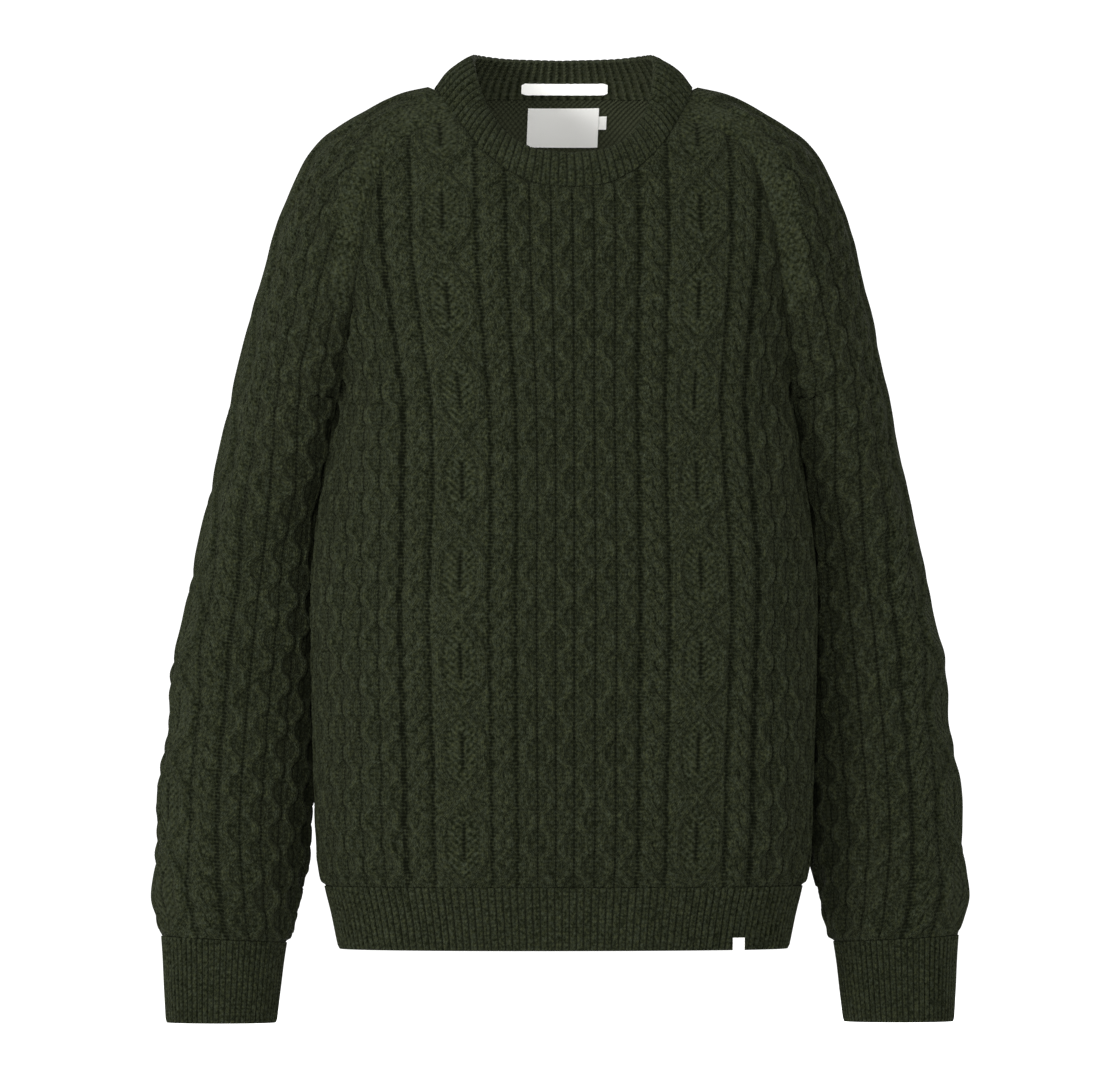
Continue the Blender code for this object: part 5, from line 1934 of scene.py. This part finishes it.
@dataclass(frozen=True)
class HemTab(Label):
    """The small tab at the free edge of the hem."""

    def on_hem(self, material: bpy.types.Material) -> bpy.types.Object:
        """Return the tab, laid on the outside of the front hem.

        Args:
            material: The label's finish.

        Returns:
            The tab.
        """
        across, heights = self.outline(*TAB_GRID)
        distance = distance_at_x(across, heights, False)
        points = on_body(distance, heights, False)
        facing = unit(body_facing(distance, heights, False).mean(axis=0)[None])[0]
        return self.plate(points + facing * TAB_CLEARANCE, facing, *TAB_GRID, material)


# -------- finishes


@dataclass
class NodeBench:
    """Makes and joins the nodes of one finish."""

    material: bpy.types.Material

    @staticmethod
    def start(name: str, settings: dict) -> "NodeBench":
        """Return the bench of a new finish, with the settings made on its shader.

        Args:
            name: The finish's name.
            settings: Values by socket name.

        Returns:
            The bench.
        """
        material = bpy.data.materials.new(name)
        material.use_nodes = True
        bench = NodeBench(material)
        for socket, value in settings.items():
            bench.shader.inputs[socket].default_value = value
        return bench

    @property
    def tree(self) -> bpy.types.NodeTree:
        """The finish's node tree."""
        return self.material.node_tree

    @property
    def shader(self) -> bpy.types.Node:
        """The finish's own shader."""
        return self.tree.nodes["Principled BSDF"]

    def node(self, kind: str, **settings: object) -> bpy.types.Node:
        """Return a new node with its settings made.

        Args:
            kind: The node's type.
            settings: Its settings.

        Returns:
            The node.
        """
        node = self.tree.nodes.new(kind)
        for name, value in settings.items():
            setattr(node, name, value)
        return node

    def join(self, value: object, socket: bpy.types.NodeSocket) -> None:
        """Join an output to a socket, or set a plain value on it.

        Args:
            value: The output or the value.
            socket: Where it goes.
        """
        if isinstance(value, bpy.types.NodeSocket):
            self.tree.links.new(value, socket)
        else:
            socket.default_value = value

    def math(self, operation: str, *values: object) -> bpy.types.NodeSocket:
        """Return the result of a sum on the values, taken in order from the first.

        Args:
            operation: The sum.
            values: Outputs or plain numbers.

        Returns:
            The result.
        """
        result = values[0]
        for second in values[1:] or (0.0,):
            node = self.node("ShaderNodeMath", operation=operation)
            self.join(result, node.inputs[0])
            self.join(second, node.inputs[1])
            result = node.outputs[0]
        return result

    def times(self, *values: object) -> bpy.types.NodeSocket:
        """Return the product of the values."""
        return self.math("MULTIPLY", *values)

    def plus(self, *values: object) -> bpy.types.NodeSocket:
        """Return the sum of the values."""
        return self.math("ADD", *values)

    def less(self, first: object, second: object) -> bpy.types.NodeSocket:
        """Return the first value less the second."""
        return self.math("SUBTRACT", first, second)

    def cosine(self, value: object, turn: float) -> bpy.types.NodeSocket:
        """Return the cosine of a value that is multiplied by the turn."""
        return self.math("COSINE", self.times(value, turn))

    def held(self, value: object, top: float = 1.0) -> bpy.types.NodeSocket:
        """Return a value held between 0 and the top."""
        return self.math("MINIMUM", self.math("MAXIMUM", value, 0.0), top)

    def mix(self, share: object, first: object, second: object) -> bpy.types.NodeSocket:
        """Return a blend of two colours, each plain or joined.

        Args:
            share: Share of the second.
            first: A colour.
            second: Another.

        Returns:
            The blend.
        """
        node = self.node("ShaderNodeMix", data_type="RGBA")
        self.join(share, node.inputs["Factor"])
        for colour, name in ((first, "A"), (second, "B")):
            self.join((*colour, 1) if isinstance(colour, tuple) else colour, node.inputs[name])
        return node.outputs["Result"]

    def wave(self, phase: object) -> bpy.types.NodeSocket:
        """Return 0 to 1 and back once for each whole step of the phase."""
        return self.half_up(self.cosine(phase, 2 * math.pi))

    def half_up(self, value: object) -> bpy.types.NodeSocket:
        """Return a value from -1 to 1 moved to 0 to 1."""
        return self.plus(self.times(value, 0.5), 0.5)

    def noise(self, scale: float, detail: float = 2.0) -> bpy.types.NodeSocket:
        """Return even noise over the object.

        Args:
            scale: How fine it is.
            detail: How many finer layers it has.

        Returns:
            Values about 0.5.
        """
        node = self.node("ShaderNodeTexNoise")
        place = self.node("ShaderNodeTexCoord").outputs["Object"]
        for value, name in ((place, "Vector"), (scale, "Scale"), (detail, "Detail")):
            self.join(value, node.inputs[name])
        return node.outputs["Fac"]

    def stored(self, name: str) -> bpy.types.NodeSocket:
        """Return a value that is stored on the mesh's points."""
        return self.node("ShaderNodeAttribute", attribute_name=name).outputs["Fac"]

    def flat_place(self, uv_map: str) -> tuple:
        """Return the places across and along that are stored on the mesh's faces.

        Args:
            uv_map: The map they are stored in.

        Returns:
            Across and along.
        """
        spot = self.node("ShaderNodeSeparateXYZ")
        self.join(self.node("ShaderNodeUVMap", uv_map=uv_map).outputs["UV"], spot.inputs[0])
        return spot.outputs[0], spot.outputs[1]

    def bump(self, height: object, distance: float) -> None:
        """Raise the finish by a height, which is scaled by the distance.

        Args:
            height: The height.
            distance: Metres for a height of 1.
        """
        bump = self.node("ShaderNodeBump")
        for value, name in ((1.0, "Strength"), (distance, "Distance"), (height, "Height")):
            self.join(value, bump.inputs[name])
        self.join(bump.outputs["Normal"], self.shader.inputs["Normal"])


@dataclass(frozen=True)
class WoolFinish:
    """Heavy heathered wool, its single stitches and its fuzz, with painted shade in its hollows and
    painted light on its insides.
    """

    name: str
    dark: tuple = (0.0026, 0.0036, 0.0011)
    light: tuple = (0.0246, 0.0280, 0.0126)
    pale: tuple = (0.0232, 0.0280, 0.0178)
    painted_light_colour: tuple = (0.0437, 0.0484, 0.0285)
    painted_shade_colour: tuple = (0.0008, 0.0012, 0.0003)
    sheen: tuple = (0.42, 0.48, 0.28, 1)
    stitch_depth: float = 0.0011
    fuzz_depth: float = 0.0004
    roughness: float = 0.95
    heather_scale: float = 430.0
    heather_share: float = 2.4
    tint_scale: float = 440.0
    tint_start: float = 0.38
    tint_gain: float = 4.0
    broad_scale: float = 60.0
    broad_share: float = 0.35
    fuzz_share: float = 1.5
    stitch_shade_share: float = 0.22
    darker: float = 1.72
    shade_dot_swing: float = 0.30
    shade_dot_level: float = 0.70
    shade_gain: float = 1.05
    shade_top: float = 0.95

    def build(self) -> bpy.types.Material:
        """Return the wool as a material.

        Returns:
            The material.
        """
        bench = NodeBench.start(
            self.name,
            {
                "Roughness": self.roughness,
                "Metallic": 0.0,
                "Specular IOR Level": 0.03,
                "Sheen Weight": 0.04,
                "Sheen Roughness": 0.6,
                "Sheen Tint": self.sheen,
            },
        )
        stitch, fuzz = self.stitches(bench), self.fuzz(bench)
        bench.join(self.colour(bench, stitch, fuzz), bench.shader.inputs["Base Color"])
        height = bench.times(stitch, self.stitch_depth)
        bench.bump(bench.plus(height, bench.times(fuzz, self.fuzz_depth)), 1.0)
        return bench.material

    def shade_dots(self, bench: NodeBench) -> bpy.types.NodeSocket:
        """Return how strong the painted shade is along each row, dotted at the holes between the
        stitches.

        Args:
            bench: The finish's nodes.

        Returns:
            Values from 0.4 to 1.
        """
        along = bench.flat_place(STITCH_MAP)[1]
        wave = bench.cosine(along, 2 * math.pi / ROW)
        return bench.plus(bench.times(wave, self.shade_dot_swing), self.shade_dot_level)

    @staticmethod
    def stitches(bench: NodeBench) -> bpy.types.NodeSocket:
        """Draw the height of each single stitch.

        Args:
            bench: The finish's nodes.

        Returns:
            A height from 0 to 1.
        """
        across, along = bench.flat_place(STITCH_MAP)
        columns, rows = bench.math("DIVIDE", across, STITCH), bench.math("DIVIDE", along, ROW)
        inside = bench.math("ABSOLUTE", bench.less(bench.math("FRACT", columns), 0.5))
        leg = bench.math("SINE", bench.times(inside, 2 * math.pi))
        leg = bench.math("POWER", bench.math("MAXIMUM", leg, 0.0), 0.6)
        slant = bench.wave(bench.less(rows, bench.times(inside, 1.8)))
        in_row = bench.cosine(rows, math.pi)
        rise = bench.times(bench.math("ABSOLUTE", across), VEIN_SLOPE)
        heights = {
            Stitch.KNIT: bench.times(leg, bench.plus(bench.times(slant, 0.6), 0.4)),
            Stitch.PURL: bench.half_up(bench.times(bench.cosine(columns, 2 * math.pi), in_row)),
            Stitch.MOSS: bench.half_up(bench.times(bench.cosine(columns, math.pi), in_row)),
            Stitch.LEAF: bench.wave(bench.math("DIVIDE", bench.less(along, rise), 2 * ROW)),
        }
        kind = bench.stored("stitch")
        terms = []
        for stitch, height in heights.items():
            away = bench.math("ABSOLUTE", bench.less(kind, float(stitch.value)))
            share = bench.math("MAXIMUM", bench.less(1.0, away), 0.0)
            terms.append(bench.times(share, height))
        return bench.plus(*terms)

    @staticmethod
    def fuzz(bench: NodeBench) -> bpy.types.NodeSocket:
        """Return the height of loose fibres, from 0 to 1."""
        fine, coarse = bench.noise(2600.0, 3.0), bench.noise(700.0)
        return bench.plus(bench.times(fine, 0.6), bench.times(coarse, 0.4))

    def colour(
        self, bench: NodeBench, stitch: bpy.types.NodeSocket, fuzz: bpy.types.NodeSocket
    ) -> bpy.types.NodeSocket:
        """Mix dark and light fibres, then add painted light on the insides and painted shade in the
        hollows.

        Args:
            bench: The finish's nodes.
            stitch: Stitch height.
            fuzz: Fibre height.

        Returns:
            The wool's colour.
        """
        tint = bench.less(bench.noise(self.tint_scale), self.tint_start)
        share = bench.plus(
            bench.times(bench.noise(self.heather_scale, 3.0), self.heather_share),
            bench.times(fuzz, self.fuzz_share),
            bench.times(bench.noise(self.broad_scale), self.broad_share),
        )
        # Painted shade and light: the low parts of each single stitch are drawn darker, the high
        # parts lighter.
        relief = bench.times(bench.less(stitch, 0.5), self.stitch_shade_share)
        share = bench.plus(bench.less(share, self.darker), relief)
        fibre = bench.mix(bench.held(bench.times(tint, self.tint_gain)), self.light, self.pale)
        wool = bench.mix(bench.held(share), self.dark, fibre)
        # Painted light where the stored value is below 0, on the insides; painted shade where it is
        # above 0, in the hollows, dotted along the rows.
        hollow = bench.stored("hollow")
        painted_light = bench.times(bench.math("MINIMUM", hollow, 0.0), -1.0)
        wool = bench.mix(painted_light, wool, self.painted_light_colour)
        shade = bench.times(hollow, self.shade_gain, self.shade_dots(bench))
        return bench.mix(bench.held(shade, self.shade_top), wool, self.painted_shade_colour)


@dataclass(frozen=True)
class LabelFinish:
    """Smooth white woven label."""

    name: str = "label_white"
    colour: tuple = (0.90, 0.895, 0.86)
    roughness: float = 0.75
    warp_step: float = 0.00045
    weft_step: float = 0.00055
    depth: float = 0.00012
    between: float = 0.90

    def build(self) -> bpy.types.Material:
        """Return the label cloth as a material.

        Returns:
            The material.
        """
        bench = NodeBench.start(self.name, {"Roughness": self.roughness, "Metallic": 0.0})
        waves = [
            bench.wave(bench.math("DIVIDE", place, step))
            for place, step in zip(bench.flat_place(WEAVE_MAP), (self.warp_step, self.weft_step))
        ]
        weave = bench.times(*waves)
        bench.bump(weave, self.depth)
        # Painted shade: the low parts of the weave, between the threads, are drawn darker.
        dim = tuple(value * self.between for value in self.colour)
        bench.join(bench.mix(weave, dim, self.colour), bench.shader.inputs["Base Color"])
        return bench.material


@dataclass(frozen=True)
class PaperFinish:
    """Plain pale surface of the studio."""

    name: str = "pale_studio"
    colour: tuple = (0.97, 0.97, 0.965)
    roughness: float = 0.9
    between: float = 0.985

    def build(self) -> bpy.types.Material:
        """Return the studio surface as a material.

        Returns:
            The material.
        """
        bench = NodeBench.start(self.name, {"Roughness": self.roughness})
        dim = tuple(value * self.between for value in self.colour)
        grain = bench.mix(bench.noise(3.0), dim, self.colour)
        bench.join(grain, bench.shader.inputs["Base Color"])
        return bench.material


# -------- the sweater


@dataclass
class Sweater:
    """All the pieces of the sweater, in the order they are knitted and sewn."""

    finishes: dict
    pieces: dict = field(default_factory=dict)

    def body(self) -> None:
        """Knit the front and the back."""
        for node, face in (("front_panel", Face.FRONT), ("back_panel", Face.BACK)):
            panel = CablePanel(BodyCloth(face), Knitting.for_body(), Folds(BODY_FOLDS))
            self.knit(panel.skin(), node, "wool_cables")

    def sleeves(self) -> None:
        """Knit one sleeve and its mirror, each with its saddle."""
        skin = CablePanel(SleeveCloth(), Knitting.for_sleeve(), Folds(SLEEVE_FOLDS)).skin()
        for node, made in (("sleeve_right", skin), ("sleeve_left", skin.mirrored())):
            self.knit(made, node, "wool_cables", weld=True)

    def ribs(self) -> None:
        """Knit the hem, the cuffs and the collar."""
        for node, back in (("hem_rib_front", False), ("hem_rib_back", True)):
            band = HemBand(HEM_RIBS_EACH, HEM_SEAM - HEM_EDGE, RIB_WALL, False, back=back)
            self.knit(band.skin(), node, "wool_rib")
        skin = CuffBand(CUFF_RIBS, CUFF_SEAM - CUFF_EDGE, RIB_WALL, True, relief=0.0017).skin()
        for node, made in (("cuff_right", skin), ("cuff_left", skin.mirrored())):
            self.knit(made, node, "wool_rib")
        collar = Collar(COLLAR_RIBS, COLLAR_TALL, COLLAR_WALL, True, reverse=0.0012)
        self.knit(collar.skin(), "collar_rib", "wool_rib")

    def labels(self) -> None:
        """Sew in the bare labels."""
        slot = "label_white"
        strip = Label("neck_strip_cloth", 0.004, 0.0012, 0.0660, 0.0086, round_corners=True)
        for label, under, node in (
            (Label("neck_label_cloth", 0.004, -0.0276, 0.0545, 0.0292), "back_panel", "neck_label"),
            (Label("size_tab_cloth", 0.0345, -0.0240, 0.0060, 0.0095), "back_panel", "size_tab"),
            (strip, "collar_rib", "neck_strip_label"),
        ):
            self.add(label.laid_inside(self.pieces[under], self.finishes[slot]), node, slot)
        tab = HemTab("hem_tab_cloth", 0.1265, -0.6515, 0.0088, 0.0100)
        self.add(tab.on_hem(self.finishes[slot]), "hem_tab", slot)

    def knit(self, skin: Skin, node: str, slot: str, weld: bool = False) -> None:
        """Make a knitted piece of its skin and fit it over its node."""
        self.add(skin.build(node + "_knit", self.finishes[slot], weld), node, slot)

    def add(self, piece: bpy.types.Object, node: str, slot: str) -> None:
        """Fit a piece over its node and keep it.

        Args:
            piece: The object.
            node: The node it stands for.
            slot: Its finish; not used.
        """
        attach(piece, "root")
        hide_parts(node)
        self.pieces[node] = piece


@dataclass(frozen=True)
class Lamp:
    """A square soft light, where it hangs and what it is aimed at."""

    name: str
    place: tuple
    size: float
    power: float
    target: tuple

    def hang(self) -> None:
        """Hang the light."""
        lamp = bpy.data.lights.new(self.name, "AREA")
        lamp.size = self.size
        lamp.energy = self.power
        obj = linked(self.name, lamp)
        obj.location = self.place
        aim = Vector(self.target) - Vector(self.place)
        obj.rotation_euler = aim.to_track_quat("-Z", "Y").to_euler()


@dataclass(frozen=True)
class Studio:
    """Pale floor, soft lights and the camera."""

    floor_height: float = -0.800
    floor_half: float = 9.0
    sky_strength: float = 1.2
    lamps: tuple = (
        Lamp("key", (-2.6, -2.8, 0.5), 0.7, 114.0, (0.0, 0.0, -0.35)),
        Lamp("front", (-0.5, -4.2, 0.7), 0.8, 116.0, (0.0, 0.0, -0.25)),
        Lamp("back", (1.3, 4.0, 1.1), 1.0, 60.0, (0.0, 0.0, -0.30)),
    )

    def floor(self) -> None:
        """Lay a plain flat floor."""
        half, corner_signs = self.floor_half, ((-1, -1), (1, -1), (1, 1), (-1, 1))
        points = [(x * half, y * half, self.floor_height) for x, y in corner_signs]
        mesh = bpy.data.meshes.new("studio_floor")
        mesh.from_pydata(points, [], [(0, 1, 2, 3)])
        mesh.materials.append(PaperFinish().build())
        floor = linked("studio_floor", mesh)

    def light(self) -> None:
        """Hang soft lights and an even pale sky."""
        world = bpy.data.worlds.new("pale_sky")
        world.use_nodes = True
        sky = world.node_tree.nodes["Background"]
        sky.inputs["Color"].default_value = (1.0, 1.0, 1.0, 1)
        sky.inputs["Strength"].default_value = self.sky_strength
        bpy.context.scene.world = world
        bpy.context.scene.view_settings.view_transform = "Standard"
        for lamp in self.lamps:
            lamp.hang()

    def camera(self) -> None:
        """Stand a long lens in front of the sweater, a little to its right."""
        lens = bpy.data.cameras.new("camera")
        lens.sensor_width = SENSOR * 1000
        lens.sensor_fit = "HORIZONTAL"
        lens.lens = SENSOR * 1000 * CAMERA_DISTANCE / (PHOTO_WIDTH * METRES_PER_PIXEL)
        camera = linked("camera", lens)
        away = Vector((math.sin(CAMERA_AZIMUTH), -math.cos(CAMERA_AZIMUTH), 0.0))
        camera.location = Vector(VIEW_CENTRE) + away * CAMERA_DISTANCE
        camera.rotation_euler = away.to_track_quat("Z", "Y").to_euler()
        bpy.context.scene.camera = camera


def corners(box: object) -> list:
    """Return a box's corners as plain lists of numbers."""
    return [[float(value) for value in corner] for corner in box]


def main() -> None:
    """Build the sweater and its studio in order."""
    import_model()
    finishes = (WoolFinish("wool_cables"), WoolFinish("wool_rib"), LabelFinish())
    sweater = Sweater({finish.name: finish.build() for finish in finishes})
    sweater.body()
    sweater.sleeves()
    sweater.ribs()
    sweater.labels()
    studio = Studio()
    studio.floor()
    studio.light()
    studio.camera()


if __name__ == "__main__":
    logging.basicConfig(level=logging.INFO)
    main()
